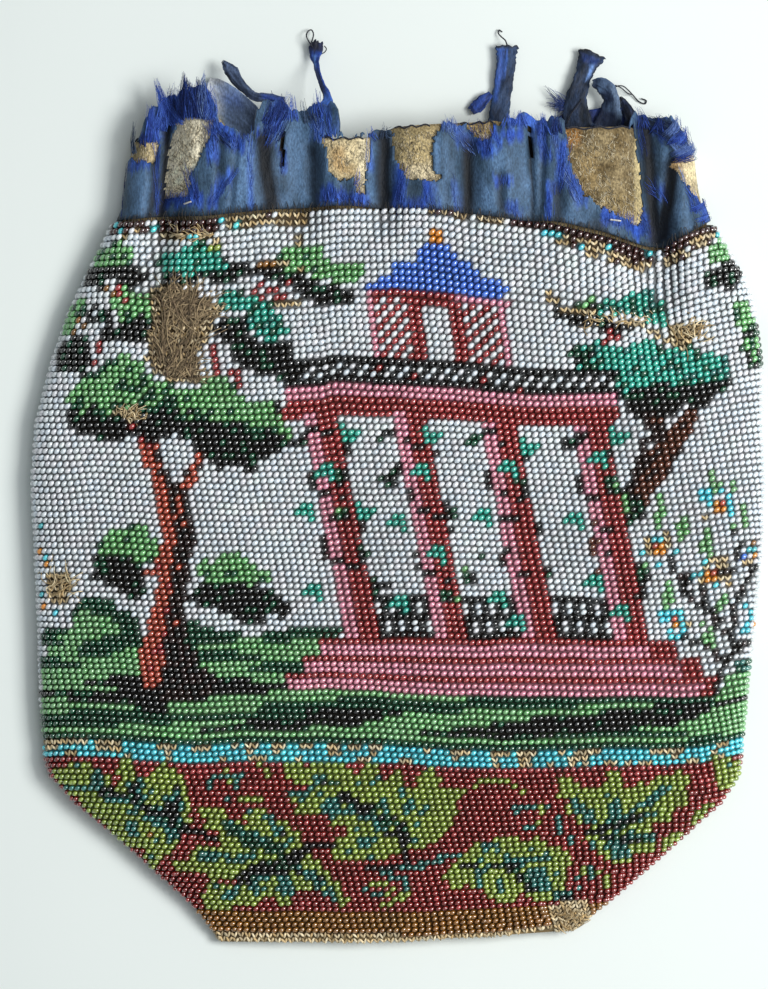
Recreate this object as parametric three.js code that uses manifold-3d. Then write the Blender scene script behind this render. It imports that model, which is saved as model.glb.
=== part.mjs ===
// Bead-knit drawstring bag (reticule), lying on its back with its mouth open.
//
// The bag is a tube of bead knitting, closed along a straight base seam and
// flattened where it rests. A soft leather band stands in its mouth, and a worn
// silk band covers the leather from the beaded rim up. Torn silk tabs, once the
// loops of the drawstring, lie beyond the mouth.
//
// Frame: millimetres, X across the bag, Y from the base seam to the mouth,
// Z up out of the surface that the bag lies on. Z = 0 is that surface.

import * as THREE from "three";
import { mergeVertices } from "three/addons/utils/BufferGeometryUtils.js";
import Module from "manifold-3d";

const wasm = await Module();
wasm.setup();

// ---------------------------------------------------------------- sizes, mm
const KNIT_WALL = 2.2; // thread and one layer of beads
const SILK_WALL = 1.0;
const LEATHER_WALL = 1.2;
const SILK_INSET = 1.2; // the silk's outer face lies this far inside the beads'
const LEATHER_INSET = 2.8; // and the leather's outer face this far
const SEAM_GAP = 0.35; // between the silk's lower edge and the beaded rim
const TUCK = 5.0; // leather that goes down inside the rim
const EDGE_MID = 3.6; // height of the side folds' outermost line
const CROWN_POWER = 4.0; // how squarely the front is crowned across
const FLAT_SHARE = 0.9; // share of the half width that lies flat underneath
const RIM_Y = 63.6; // the beaded rim at the side folds
const SEAM_SOLID = 3.2; // length of the base seam, where the walls are sewn together
const FRONT_STEPS = 46; // steps across the front wall
const BACK_STEPS = 14; // and across the back wall

// Sections of the whole form, base to mouth: outer side folds and thickness.
const FORM = [
  { y: -107.2, left: -42.3, right: 36.5, thick: 4.8 },
  { y: -103.0, left: -44.8, right: 43.4, thick: 5.8 },
  { y: -97.0, left: -49.8, right: 50.2, thick: 7.2 },
  { y: -90.0, left: -57.6, right: 58.6, thick: 8.8 },
  { y: -81.8, left: -66.8, right: 67.7, thick: 10.2 },
  { y: -73.6, left: -76.8, right: 76.7, thick: 11.4 },
  { y: -67.2, left: -82.6, right: 81.1, thick: 12.2 },
  { y: -62.5, left: -83.9, right: 81.7, thick: 12.6 },
  { y: -48.9, left: -84.9, right: 82.8, thick: 13.2 },
  { y: -30.1, left: -85.4, right: 84.8, thick: 13.8 },
  { y: -11.3, left: -86.3, right: 86.6, thick: 14.0 },
  { y: 2.8, left: -87.0, right: 87.0, thick: 14.0 },
  { y: 16.9, left: -85.8, right: 86.4, thick: 14.0 },
  { y: 31.0, left: -82.2, right: 86.4, thick: 14.2 },
  { y: 42.8, left: -78.0, right: 85.0, thick: 14.6 },
  { y: 52.2, left: -73.6, right: 81.7, thick: 15.2 },
  { y: 58.0, left: -70.6, right: 78.0, thick: 15.8 },
  { y: RIM_Y, left: -67.8, right: 75.2, thick: 16.6 },
  { y: 67.0, left: -66.3, right: 73.4, thick: 17.1 },
  { y: 72.0, left: -65.7, right: 72.3, thick: 17.8 },
  { y: 78.0, left: -65.0, right: 71.6, thick: 18.0 },
  { y: 84.0, left: -63.6, right: 70.2, thick: 17.4 },
  { y: 92.0, left: -63.0, right: 69.6, thick: 15.4 },
  { y: 100.0, left: -63.0, right: 69.6, thick: 12.6 },
];
const BODY_LEVELS = FORM.filter((row) => row.y <= RIM_Y).map((row) => row.y);

// Valleys of the front wall: x at the rim and above, lean across per mm below the
// rim, span of y where the valley is deepest, how far it fades beyond, depth, half width.
const FOLDS = [
  { name: "left_tuck", x: -55.0, lean: 0.3, from: 58, to: 90, fade: 22, depth: 4.6, half: 4.2 },
  { name: "left_slack", x: -67.0, lean: 0.0, from: -8, to: 12, fade: 20, depth: 0.9, half: 7.0 },
  { name: "left_gather", x: -23.0, lean: 0.0, from: 64, to: 90, fade: 12, depth: 3.6, half: 5.0 },
  { name: "centre_gather", x: -3.4, lean: 0.0, from: 64, to: 90, fade: 10, depth: 2.8, half: 4.0 },
  { name: "right_gather", x: 16.6, lean: 0.0, from: 66, to: 90, fade: 8, depth: 2.0, half: 3.6 },
  { name: "small_gather", x: 31.0, lean: 0.0, from: 66, to: 90, fade: 8, depth: 1.8, half: 3.4 },
  { name: "right_gusset", x: 59.6, lean: -0.12, from: 54, to: 90, fade: 30, depth: 6.0, half: 5.0 },
];

// A slack crease that runs across the front below the rim.
const CREASE = { y: 45.2, half: 3.2, depth: 0.9, from: -38, to: 78, fade: 8 };

// Lift of the front rim above RIM_Y.
const RIM = [
  { x: -67.8, lift: 0.0 },
  { x: -60.0, lift: 0.4 },
  { x: -55.0, lift: 0.8 },
  { x: -46.5, lift: 0.6 },
  { x: -32.0, lift: 2.0 },
  { x: -16.0, lift: 3.0 },
  { x: 12.0, lift: 2.7 },
  { x: 24.0, lift: 1.2 },
  { x: 36.0, lift: -0.2 },
  { x: 48.0, lift: -3.2 },
  { x: 57.5, lift: -6.3 },
  { x: 61.0, lift: -6.7 },
  { x: 66.5, lift: -3.5 },
  { x: 75.2, lift: 0.0 },
];
const RIM_BLEND = { from: 33, to: RIM_Y }; // rows of knitting bend to the rim here

// Lift of the base seam, which runs up a little to the right.
const BASE = [
  { x: -42.3, lift: 0.0 },
  { x: -10.0, lift: 0.2 },
  { x: 16.0, lift: 1.2 },
  { x: 34.5, lift: 2.6 },
];
const BASE_BLEND = { from: -107.2, to: -94 };

// Upper edges of the leather and of the worn silk, front and back.
const LEATHER_TOP = [
  { x: -63.6, y: 82.4 },
  { x: -50.0, y: 88.0 },
  { x: -44.0, y: 87.6 },
  { x: -30.0, y: 84.0 },
  { x: -16.0, y: 82.6 },
  { x: -6.0, y: 82.8 },
  { x: -1.5, y: 85.4 },
  { x: 8.0, y: 86.0 },
  { x: 22.0, y: 86.8 },
  { x: 38.5, y: 85.2 },
  { x: 56.0, y: 85.6 },
  { x: 63.0, y: 82.6 },
  { x: 70.2, y: 80.6 },
];
const SILK_TOP = [
  { x: -64.6, y: 77.4 },
  { x: -62.0, y: 82.0 },
  { x: -58.6, y: 89.4 },
  { x: -56.4, y: 95.6 },
  { x: -53.0, y: 93.4 },
  { x: -49.8, y: 97.4 },
  { x: -45.4, y: 97.2 },
  { x: -43.0, y: 94.6 },
  { x: -40.0, y: 93.4 },
  { x: -37.1, y: 90.8 },
  { x: -34.2, y: 86.6 },
  { x: -32.8, y: 87.0 },
  { x: -31.0, y: 91.0 },
  { x: -28.0, y: 91.8 },
  { x: -21.0, y: 89.4 },
  { x: -15.0, y: 88.2 },
  { x: -10.0, y: 84.0 },
  { x: -3.0, y: 86.8 },
  { x: 10.6, y: 87.6 },
  { x: 24.6, y: 87.6 },
  { x: 32.0, y: 88.8 },
  { x: 38.4, y: 86.4 },
  { x: 56.6, y: 86.4 },
  { x: 60.6, y: 89.4 },
  { x: 65.0, y: 87.0 },
  { x: 70.4, y: 79.0 },
];
const LEATHER_BACK_TOP = 83.0;
const SILK_BACK_TOP = 85.4;

// Worn windows in the front silk, each a stack of widths from its upper edge
// down. A window whose upper edge is past the silk is a notch.
const WINDOWS = {
  left_patch: [
    { y: 82.6, left: -61.8, right: -57.0 },
    { y: 78.8, left: -63.2, right: -57.4 },
  ],
  tall_strip: [
    { y: 88.4, left: -50.6, right: -44.2 },
    { y: 83.9, left: -52.2, right: -45.7 },
    { y: 79.9, left: -53.2, right: -47.1 },
    { y: 75.7, left: -53.9, right: -48.9 },
    { y: 69.8, left: -54.2, right: -49.2 },
  ],
  gather_patch: [
    { y: 92.0, left: -16.6, right: -7.2 },
    { y: 82.0, left: -17.2, right: -7.1 },
    { y: 77.5, left: -15.4, right: -7.2 },
    { y: 72.9, left: -13.6, right: -7.4 },
    { y: 70.2, left: -10.6, right: -8.0 },
  ],
  centre_patch: [
    { y: 92.0, left: -1.6, right: 8.1 },
    { y: 85.0, left: -1.6, right: 8.1 },
    { y: 78.0, left: -0.5, right: 8.1 },
    { y: 73.6, left: 3.0, right: 8.6 },
  ],
  top_chip: [
    { y: 92.0, left: 17.6, right: 22.8 },
    { y: 86.4, left: 17.8, right: 22.6 },
    { y: 83.6, left: 19.2, right: 21.4 },
  ],
  big_patch: [
    { y: 92.0, left: 38.8, right: 55.9 },
    { y: 76.6, left: 41.1, right: 57.0 },
    { y: 69.1, left: 45.1, right: 57.4 },
    { y: 65.2, left: 50.3, right: 57.6 },
  ],
  right_patch: [
    { y: 82.0, left: 66.5, right: 70.9 },
    { y: 78.4, left: 64.6, right: 71.6 },
    { y: 72.5, left: 68.4, right: 72.0 },
  ],
};
const WINDOW_FLOOR = 4.4; // the cuts stop above the back wall

// Torn silk tabs beyond the mouth, as ribbons: middle line, width and roll.
const TAB_WALL = 1.0;
const TABS = {
  silk_tab_left: [
    { x: -28.6, y: 91.6, z: 11.2, width: 2.4, roll: 6 },
    { x: -33.2, y: 92.4, z: 10.2, width: 2.2, roll: 0 },
    { x: -36.5, y: 95.2, z: 7.8, width: 2.2, roll: -10 },
    { x: -39.0, y: 98.6, z: 5.4, width: 2.8, roll: -6 },
    { x: -41.2, y: 101.4, z: 3.4, width: 1.9, roll: 0 },
  ],
  silk_tab_twisted: [
    { x: -16.2, y: 89.2, z: 11.8, width: 3.0, roll: 0 },
    { x: -17.2, y: 93.4, z: 9.0, width: 2.2, roll: 30 },
    { x: -18.4, y: 98.0, z: 5.0, width: 1.7, roll: 50 },
    { x: -19.5, y: 102.0, z: 2.8, width: 1.7, roll: 35 },
    { x: -19.2, y: 105.0, z: 2.2, width: 3.0, roll: 10 },
    { x: -18.2, y: 107.0, z: 2.0, width: 2.2, roll: 0 },
  ],
  silk_tab_centre: [
    { x: 23.4, y: 86.4, z: 1.3, width: 5.0, roll: 0 },
    { x: 23.8, y: 91.0, z: 1.4, width: 4.8, roll: -4 },
    { x: 24.4, y: 97.0, z: 1.5, width: 4.5, roll: 4 },
    { x: 25.4, y: 102.4, z: 1.7, width: 4.6, roll: -6 },
    { x: 25.6, y: 105.4, z: 2.0, width: 5.4, roll: 0 },
  ],
  silk_tab_centre_tail: [
    { x: 19.9, y: 92.9, z: 1.6, width: 2.0, roll: 0 },
    { x: 18.9, y: 91.2, z: 1.4, width: 2.8, roll: 0 },
    { x: 17.4, y: 89.4, z: 1.2, width: 2.4, roll: 0 },
  ],
  silk_tab_right: [
    { x: 42.4, y: 86.4, z: 1.4, width: 6.6, roll: 0 },
    { x: 42.4, y: 91.6, z: 1.8, width: 5.8, roll: 8 },
    { x: 44.0, y: 97.0, z: 2.4, width: 4.2, roll: -8 },
    { x: 45.2, y: 100.8, z: 2.2, width: 4.1, roll: 6 },
    { x: 45.9, y: 104.2, z: 1.8, width: 5.6, roll: 0 },
  ],
  silk_tab_right_loop: [
    { x: 50.0, y: 86.4, z: 1.4, width: 5.0, roll: 0 },
    { x: 50.4, y: 90.6, z: 3.2, width: 4.6, roll: 18 },
    { x: 49.6, y: 94.4, z: 4.8, width: 4.8, roll: 28 },
    { x: 48.4, y: 96.8, z: 4.4, width: 4.0, roll: 20 },
  ],
  silk_flap_right: [
    { x: 55.6, y: 86.4, z: 1.2, width: 3.6, roll: 0 },
    { x: 54.9, y: 90.0, z: 1.2, width: 2.6, roll: 0 },
    { x: 54.0, y: 93.0, z: 1.0, width: 1.4, roll: 0 },
  ],
};
const TAB_STEPS = 12;

// The middle of the finished bag's outline, brought to the frame's origin.
const MIDDLE = { x: 0.0, y: 0.166 };

// Colours of the finished pieces.
const FINISH = {
  beads: { color: 0xb9bcc6, roughness: 0.25, metalness: 0 },
  silk: { color: 0x4a5f94, roughness: 0.6, metalness: 0 },
  leather: { color: 0xb89a66, roughness: 0.95, metalness: 0 },
  tab: { color: 0x2c3d70, roughness: 0.65, metalness: 0 },
};

// ------------------------------------------------------------- small helpers
const clamp = (v, a, b) => Math.min(b, Math.max(a, v));
const smooth = (v) => {
  const t = clamp(v, 0, 1);
  return t * t * (3 - 2 * t);
};

// Value of one column of a table at a place in another column.
function look(table, key, at, value) {
  if (at <= table[0][key]) return table[0][value];
  for (let i = 1; i < table.length; i++) {
    const a = table[i - 1],
      b = table[i];
    if (at <= b[key])
      return a[value] + ((b[value] - a[value]) * (at - a[key])) / (b[key] - a[key]);
  }
  return table[table.length - 1][value];
}

// ------------------------------------------------------------------ the form
// Where an across share (-1 at the left fold, 1 at the right) lies at a height.
function across(share, y) {
  const left = look(FORM, "y", y, "left"),
    right = look(FORM, "y", y, "right");
  return (left + right) / 2 + (share * (right - left)) / 2;
}

function valley(x, y) {
  let drop = 0;
  for (const f of FOLDS) {
    const strength =
      smooth((y - (f.from - f.fade)) / f.fade) * smooth((f.to + f.fade - y) / f.fade);
    const away = (x - (f.x + f.lean * Math.min(0, y - RIM_Y))) / f.half;
    drop += f.depth * strength * Math.exp(-away * away);
  }
  const along =
    smooth((x - CREASE.from) / CREASE.fade) * smooth((CREASE.to - x) / CREASE.fade);
  const off = (y - CREASE.y) / CREASE.half;
  return drop + CREASE.depth * along * Math.exp(-off * off);
}

function frontPoint(share, y) {
  const thick = look(FORM, "y", y, "thick");
  const mid = Math.min(EDGE_MID, thick * 0.48);
  const x = across(share, y);
  const inside = 1 - Math.abs(share) ** CROWN_POWER;
  const z = mid + (thick - mid) * Math.sqrt(Math.max(0, inside));
  const dip = valley(x, y) * (1 - Math.abs(share) ** 10);
  return [x, Math.max(mid, z - dip)];
}

function backPoint(share, y) {
  const thick = look(FORM, "y", y, "thick");
  const mid = Math.min(EDGE_MID, thick * 0.48);
  const past = clamp((Math.abs(share) - FLAT_SHARE) / (1 - FLAT_SHARE), 0, 1);
  return [across(share, y), mid * (1 - Math.sqrt(1 - past * past))];
}

// Steps round a section: left fold, over the front, right fold, under the back.
const ROUND = [];
for (let i = 0; i <= FRONT_STEPS; i++) {
  const even = (2 * i) / FRONT_STEPS - 1;
  ROUND.push({ front: true, share: 0.55 * even + 0.45 * Math.sin((Math.PI / 2) * even) });
}
for (let i = 1; i < BACK_STEPS; i++) {
  const even = 1 - (2 * i) / BACK_STEPS;
  ROUND.push({ front: false, share: 0.4 * even + 0.6 * Math.sin((Math.PI / 2) * even) });
}

const raw = (r, y) => (r.front ? frontPoint(r.share, y) : backPoint(r.share, y));

// A loop of points round the form, set in from its outer face. heightOf gives
// each step's own y, because edges and rims are not level.
function loop(heightOf, inset) {
  const n = ROUND.length;
  return ROUND.map((r, i) => {
    const y = heightOf(r);
    const [x, z] = raw(r, y);
    const before = raw(ROUND[(i + n - 1) % n], y),
      after = raw(ROUND[(i + 1) % n], y);
    const tx = after[0] - before[0],
      tz = after[1] - before[1],
      len = Math.hypot(tx, tz);
    return [x + (tz / len) * inset, y, z - (tx / len) * inset];
  });
}

// ------------------------------------------------------------ solids by loft
function meshOf(positions, triangles) {
  const g = new THREE.BufferGeometry();
  g.setAttribute("position", new THREE.Float32BufferAttribute(positions.flat(), 3));
  g.setIndex(triangles.flat());
  return g;
}

// Quads between two loops of equal length, with the second further along.
function band(triangles, first, second, n, flip) {
  for (let i = 0; i < n; i++) {
    const j = (i + 1) % n;
    const a = first + i,
      b = first + j,
      c = second + j,
      d = second + i;
    if (flip) triangles.push([a, c, b], [a, d, c]);
    else triangles.push([a, b, c], [a, c, d]);
  }
}

// Flat cap over one loop: triangles zipped between its front and back points.
function cap(triangles, first, points, flip) {
  const n = points.length;
  const upper = Array.from({ length: FRONT_STEPS + 1 }, (_, k) => k);
  const lower = [0, ...Array.from({ length: n - FRONT_STEPS }, (_, k) => n - 1 - k)];
  let i = 0,
    j = 0;
  while (i < upper.length - 1 || j < lower.length - 1) {
    const a = upper[i],
      b = lower[j];
    const onUpper =
      j === lower.length - 1 ||
      (i < upper.length - 1 && points[upper[i + 1]][0] <= points[lower[j + 1]][0]);
    const c = onUpper ? upper[++i] : lower[++j];
    if (a === b || b === c || a === c) continue;
    triangles.push(flip ? [first + a, first + c, first + b] : [first + a, first + b, first + c]);
  }
}

// A tube wall: outer loops and inner loops, joined by a rim at both ends.
function tubeWall(outer, inner) {
  const n = ROUND.length,
    positions = [],
    triangles = [];
  const outerAt = outer.map((l) => positions.push(...l) - n);
  const innerAt = inner.map((l) => positions.push(...l) - n);
  for (let k = 1; k < outer.length; k++) band(triangles, outerAt[k - 1], outerAt[k], n, false);
  for (let k = 1; k < inner.length; k++) band(triangles, innerAt[k - 1], innerAt[k], n, true);
  band(triangles, outerAt.at(-1), innerAt.at(-1), n, false);
  band(triangles, outerAt[0], innerAt[0], n, true);
  return meshOf(positions, triangles);
}

// The beaded pouch: closed at the base seam, open at the rim.
function pouch() {
  const n = ROUND.length,
    positions = [],
    triangles = [];
  const rows = (y) => (r) => rowHeight(r, y);
  const outer = BODY_LEVELS.map((y) => loop(rows(y), 0));
  const base = BODY_LEVELS[0] + SEAM_SOLID;
  const inner = [base, ...BODY_LEVELS.filter((y) => y > base + 1)].map((y) =>
    loop(rows(y), innerInset(y)),
  );
  const outerAt = outer.map((l) => positions.push(...l) - n);
  const innerAt = inner.map((l) => positions.push(...l) - n);
  for (let k = 1; k < outer.length; k++) band(triangles, outerAt[k - 1], outerAt[k], n, false);
  for (let k = 1; k < inner.length; k++) band(triangles, innerAt[k - 1], innerAt[k], n, true);
  band(triangles, outerAt.at(-1), innerAt.at(-1), n, false);
  cap(triangles, outerAt[0], outer[0], false);
  cap(triangles, innerAt[0], inner[0], true);
  return meshOf(positions, triangles);
}

// The walls thin towards the base seam, where the form is flattest.
function innerInset(y) {
  return Math.min(KNIT_WALL, look(FORM, "y", y, "thick") * 0.36);
}

// A knitted row's height at a step: rows bend to the rim and to the base seam.
function rowHeight(r, y) {
  const low = smooth((BASE_BLEND.to - y) / (BASE_BLEND.to - BASE_BLEND.from));
  const base = y + look(BASE, "x", across(r.share, y), "lift") * low;
  if (!r.front) return base;
  const high = smooth((y - RIM_BLEND.from) / (RIM_BLEND.to - RIM_BLEND.from));
  return base + look(RIM, "x", across(r.share, RIM_Y), "lift") * high;
}

// Height of an edge table at a step; the back has one level, eased at the folds.
function edgeHeight(table, backLevel) {
  return (r) => {
    const x = across(r.share, 84);
    if (r.front) return look(table, "x", x, "y");
    const side = look(table, "x", x < 0 ? -99 : 99, "y");
    return side + (backLevel - side) * smooth((1 - Math.abs(r.share)) / 0.2);
  };
}

// A band that stands in the mouth, from a lower edge to an upper one.
function headerBand(lowOf, highOf, inset, wall, levels) {
  const at = (share) => (r) => lowOf(r) + (highOf(r) - lowOf(r)) * share;
  const shares = Array.from({ length: levels + 1 }, (_, k) => k / levels);
  return tubeWall(
    shares.map((s) => loop(at(s), inset)),
    shares.map((s) => loop(at(s), inset + wall)),
  );
}

// --------------------------------------------------------- joining and cutting
function solidOf(geometry) {
  const g = geometry.index ? geometry.toNonIndexed() : geometry.clone();
  g.deleteAttribute("normal");
  g.deleteAttribute("uv");
  const m = mergeVertices(g, 1e-4);
  return new wasm.Manifold(
    new wasm.Mesh({
      numProp: 3,
      vertProperties: new Float32Array(m.attributes.position.array),
      triVerts: new Uint32Array(m.index.array),
    }),
  );
}

function geometryOf(solid) {
  const m = solid.getMesh();
  const g = new THREE.BufferGeometry();
  g.setAttribute("position", new THREE.BufferAttribute(new Float32Array(m.vertProperties), 3));
  g.setIndex(new THREE.BufferAttribute(new Uint32Array(m.triVerts), 1));
  return g;
}

function windowCutter(rows) {
  const corners = [
    ...rows.map((r) => new THREE.Vector2(r.left, r.y)),
    ...rows.map((r) => new THREE.Vector2(r.right, r.y)).reverse(),
  ];
  const outline = new THREE.Shape(corners);
  const g = new THREE.ExtrudeGeometry(outline, { depth: 30, bevelEnabled: false });
  return g.translate(0, 0, WINDOW_FLOOR);
}

// --------------------------------------------------------------------- ribbon
function ribbon(rows) {
  const line = new THREE.CatmullRomCurve3(
    rows.map((p) => new THREE.Vector3(p.x, p.y, p.z)),
    false,
    "centripetal",
  );
  const positions = [],
    triangles = [],
    up = new THREE.Vector3(0, 0, 1);
  for (let k = 0; k <= TAB_STEPS; k++) {
    const t = k / TAB_STEPS,
      at = t * (rows.length - 1);
    const i = Math.min(rows.length - 2, Math.floor(at)),
      f = at - i;
    const width = rows[i].width + (rows[i + 1].width - rows[i].width) * f;
    const roll = rows[i].roll + (rows[i + 1].roll - rows[i].roll) * f;
    const p = line.getPoint(t),
      along = line.getTangent(t);
    const side = new THREE.Vector3().crossVectors(along, up).normalize();
    const face = new THREE.Vector3().crossVectors(side, along).normalize();
    const turn = new THREE.Quaternion().setFromAxisAngle(along, THREE.MathUtils.degToRad(roll));
    side.applyQuaternion(turn);
    face.applyQuaternion(turn);
    for (const [u, v] of [
      [-1, -1],
      [1, -1],
      [1, 1],
      [-1, 1],
    ]) {
      const q = p
        .clone()
        .addScaledVector(side, (u * width) / 2)
        .addScaledVector(face, (v * TAB_WALL) / 2);
      positions.push([q.x, q.y, q.z]);
    }
    if (k > 0) band(triangles, 4 * (k - 1), 4 * k, 4, true);
  }
  triangles.push([0, 1, 2], [0, 2, 3]);
  const e = 4 * TAB_STEPS;
  triangles.push([e, e + 2, e + 1], [e, e + 3, e + 2]);
  return meshOf(positions, triangles);
}

// ------------------------------------------------------------------- assembly
const bag = new THREE.Group();
bag.position.set(-MIDDLE.x, -MIDDLE.y, 0);

function add(name, geometry, finish) {
  geometry.computeVertexNormals();
  const mesh = new THREE.Mesh(geometry, new THREE.MeshStandardMaterial(finish));
  mesh.name = name;
  bag.add(mesh);
}

add("beaded_body", pouch(), FINISH.beads);

const rim = (r) => rowHeight(r, RIM_Y);
add(
  "leather_band",
  headerBand(
    (r) => rim(r) - TUCK,
    edgeHeight(LEATHER_TOP, LEATHER_BACK_TOP),
    LEATHER_INSET,
    LEATHER_WALL,
    5,
  ),
  FINISH.leather,
);

const silk = headerBand(
  (r) => rim(r) + SEAM_GAP,
  edgeHeight(SILK_TOP, SILK_BACK_TOP),
  SILK_INSET,
  SILK_WALL,
  6,
);
const worn = Object.values(WINDOWS).reduce(
  (solid, rows) => solid.subtract(solidOf(windowCutter(rows))),
  solidOf(silk),
);
add("silk_band", geometryOf(worn), FINISH.silk);

for (const [name, rows] of Object.entries(TABS)) add(name, ribbon(rows), FINISH.tab);

const part = new THREE.Group();
part.add(bag);

export default part;
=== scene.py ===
"""Looks of the bead-knitted reticule: beads on their knitting, the worn silk band, leather and torn tabs."""

import math

import bpy
import numpy as np
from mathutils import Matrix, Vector
from mathutils.kdtree import KDTree


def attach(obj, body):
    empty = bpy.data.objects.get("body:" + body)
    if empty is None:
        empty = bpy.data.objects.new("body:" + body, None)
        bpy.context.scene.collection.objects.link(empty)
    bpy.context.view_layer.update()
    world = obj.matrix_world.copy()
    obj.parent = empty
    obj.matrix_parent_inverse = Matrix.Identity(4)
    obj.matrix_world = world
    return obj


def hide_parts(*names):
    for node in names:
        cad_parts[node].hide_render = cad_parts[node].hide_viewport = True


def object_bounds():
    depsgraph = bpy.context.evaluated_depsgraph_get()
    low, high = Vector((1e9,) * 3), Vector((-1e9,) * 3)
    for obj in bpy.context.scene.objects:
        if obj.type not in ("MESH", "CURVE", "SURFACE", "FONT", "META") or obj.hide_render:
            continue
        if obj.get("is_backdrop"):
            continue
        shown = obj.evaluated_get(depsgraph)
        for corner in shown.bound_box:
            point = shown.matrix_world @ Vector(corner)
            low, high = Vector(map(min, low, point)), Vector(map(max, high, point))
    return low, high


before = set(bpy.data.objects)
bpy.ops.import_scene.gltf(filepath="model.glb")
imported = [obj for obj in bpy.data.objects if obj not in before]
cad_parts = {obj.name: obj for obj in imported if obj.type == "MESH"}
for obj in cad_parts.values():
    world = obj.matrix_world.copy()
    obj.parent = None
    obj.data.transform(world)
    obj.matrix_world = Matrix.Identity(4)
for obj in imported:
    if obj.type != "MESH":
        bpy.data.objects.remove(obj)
cad_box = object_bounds()

# ------------------------------------------------------------- the bag's form, mm
# Sections from base to mouth: height, left fold, right fold, thickness.
FORM = np.array([
    (-107.2, -42.3, 36.5, 4.8), (-103.0, -44.8, 43.4, 5.8), (-97.0, -49.8, 50.2, 7.2),
    (-90.0, -57.6, 58.6, 8.8), (-81.8, -66.8, 67.7, 10.2), (-73.6, -76.8, 76.7, 11.4),
    (-67.2, -82.6, 81.1, 12.2), (-62.5, -83.9, 81.7, 12.6), (-48.9, -84.9, 82.8, 13.2),
    (-30.1, -85.4, 84.8, 13.8), (-11.3, -86.3, 86.6, 14.0), (2.8, -87.0, 87.0, 14.0),
    (16.9, -85.8, 86.4, 14.0), (31.0, -82.2, 86.4, 14.2), (42.8, -78.0, 85.0, 14.6),
    (52.2, -73.6, 81.7, 15.2), (58.0, -70.6, 78.0, 15.8), (63.6, -67.8, 75.2, 16.6),
    (67.0, -66.3, 73.4, 17.1), (72.0, -65.7, 72.3, 17.8), (78.0, -65.0, 71.6, 18.0),
    (84.0, -63.6, 70.2, 17.4), (92.0, -63.0, 69.6, 15.4), (100.0, -63.0, 69.6, 12.6)])
# Valleys of the front: x, lean below the rim, from, to, fade, depth, half width.
FOLDS = [(-55.0, 0.3, 58, 90, 22, 4.6, 4.2), (-67.0, 0.0, -8, 12, 20, 0.9, 7.0),
         (-23.0, 0.0, 64, 90, 12, 3.6, 5.0), (-3.4, 0.0, 64, 90, 10, 2.8, 4.0),
         (16.6, 0.0, 66, 90, 8, 2.0, 3.6), (31.0, 0.0, 66, 90, 8, 1.8, 3.4),
         (59.6, -0.12, 54, 90, 30, 6.0, 5.0)]
RIM_Y, EDGE_MID, FLAT_SHARE, MIDDLE_Y = 63.6, 3.6, 0.9, 0.166
RIM_LIFT = np.array([(-67.8, 0), (-60, .4), (-55, .8), (-46.5, .6), (-32, 2), (-16, 3), (12, 2.7), (24, 1.2),
                     (36, -.2), (48, -3.2), (57.5, -6.3), (61, -6.7), (66.5, -3.5), (75.2, 0)])
BASE_LIFT = np.array([(-42.3, 0), (-10, .2), (16, 1.2), (34.5, 2.6)])


def smooth(t):
    t = np.clip(t, 0.0, 1.0)
    return t * t * (3 - 2 * t)


def sides(y):
    return np.interp(y, FORM[:, 0], FORM[:, 1]), np.interp(y, FORM[:, 0], FORM[:, 2])


def thick_at(y):
    return np.interp(y, FORM[:, 0], FORM[:, 3])


def across(s, y):
    left, right = sides(y)
    return (left + right) / 2 + s * (right - left) / 2


def share_of(x, y):
    left, right = sides(y)
    return np.clip((x - (left + right) / 2) / ((right - left) / 2), -1, 1)


def valley(x, y):
    drop = np.zeros(np.broadcast(x, y).shape)
    for fx, lean, a, b, fade, depth, half in FOLDS:
        strength = smooth((y - (a - fade)) / fade) * smooth((b + fade - y) / fade)
        away = (x - (fx + lean * np.minimum(0, y - RIM_Y))) / half
        drop = drop + depth * strength * np.exp(-away * away)
    along = smooth((x + 38) / 8) * smooth((78 - x) / 8)
    return drop + 0.9 * along * np.exp(-((y - 45.2) / 3.2) ** 2)


def front(s, y):
    """x and z of the front's outer face."""
    thick = thick_at(y)
    mid = np.minimum(EDGE_MID, thick * 0.48)
    x = across(s, y)
    z = mid + (thick - mid) * np.sqrt(np.maximum(0, 1 - np.abs(s) ** 4))
    return x, np.maximum(mid, z - valley(x, y) * (1 - np.abs(s) ** 10))


def back(s, y):
    thick = thick_at(y)
    mid = np.minimum(EDGE_MID, thick * 0.48)
    past = np.clip((np.abs(s) - FLAT_SHARE) / (1 - FLAT_SHARE), 0, 1)
    return across(s, y), mid * (1 - np.sqrt(np.maximum(0, 1 - past * past)))


def outer(is_front, s, y):
    """Points of the outer face, with outward normals, in mm (n, 3)."""
    s, y = np.asarray(s, float), np.asarray(y, float)

    def at(s, y):
        fx, fz = front(s, y)
        bx, bz = back(s, y)
        return np.stack([np.where(is_front, fx, bx), y + 0 * fx, np.where(is_front, fz, bz)], -1)
    p = at(s, y)
    ds = 0.006
    tx = at(np.minimum(s + ds, 1), y) - at(np.maximum(s - ds, -1), y)
    ty = at(s, y + 0.6) - at(s, y - 0.6)
    n = np.cross(tx, ty)
    n *= np.where(is_front, 1.0, -1.0)[..., None]
    n /= np.maximum(np.linalg.norm(n, axis=-1, keepdims=True), 1e-9)
    return p, n


def rim_at(x):
    return RIM_Y + np.interp(x, RIM_LIFT[:, 0], RIM_LIFT[:, 1])


def base_at(x):
    return FORM[0, 0] + np.interp(x, BASE_LIFT[:, 0], BASE_LIFT[:, 1])


# ------------------------------------------------------------ the knitted lattice
# The picture is laid out in a plan of units of 0.235 mm, u to the right and v down.
MM = 0.235


def plan(x, y):
    return 398 + x / MM, 492 - y / MM


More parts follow.
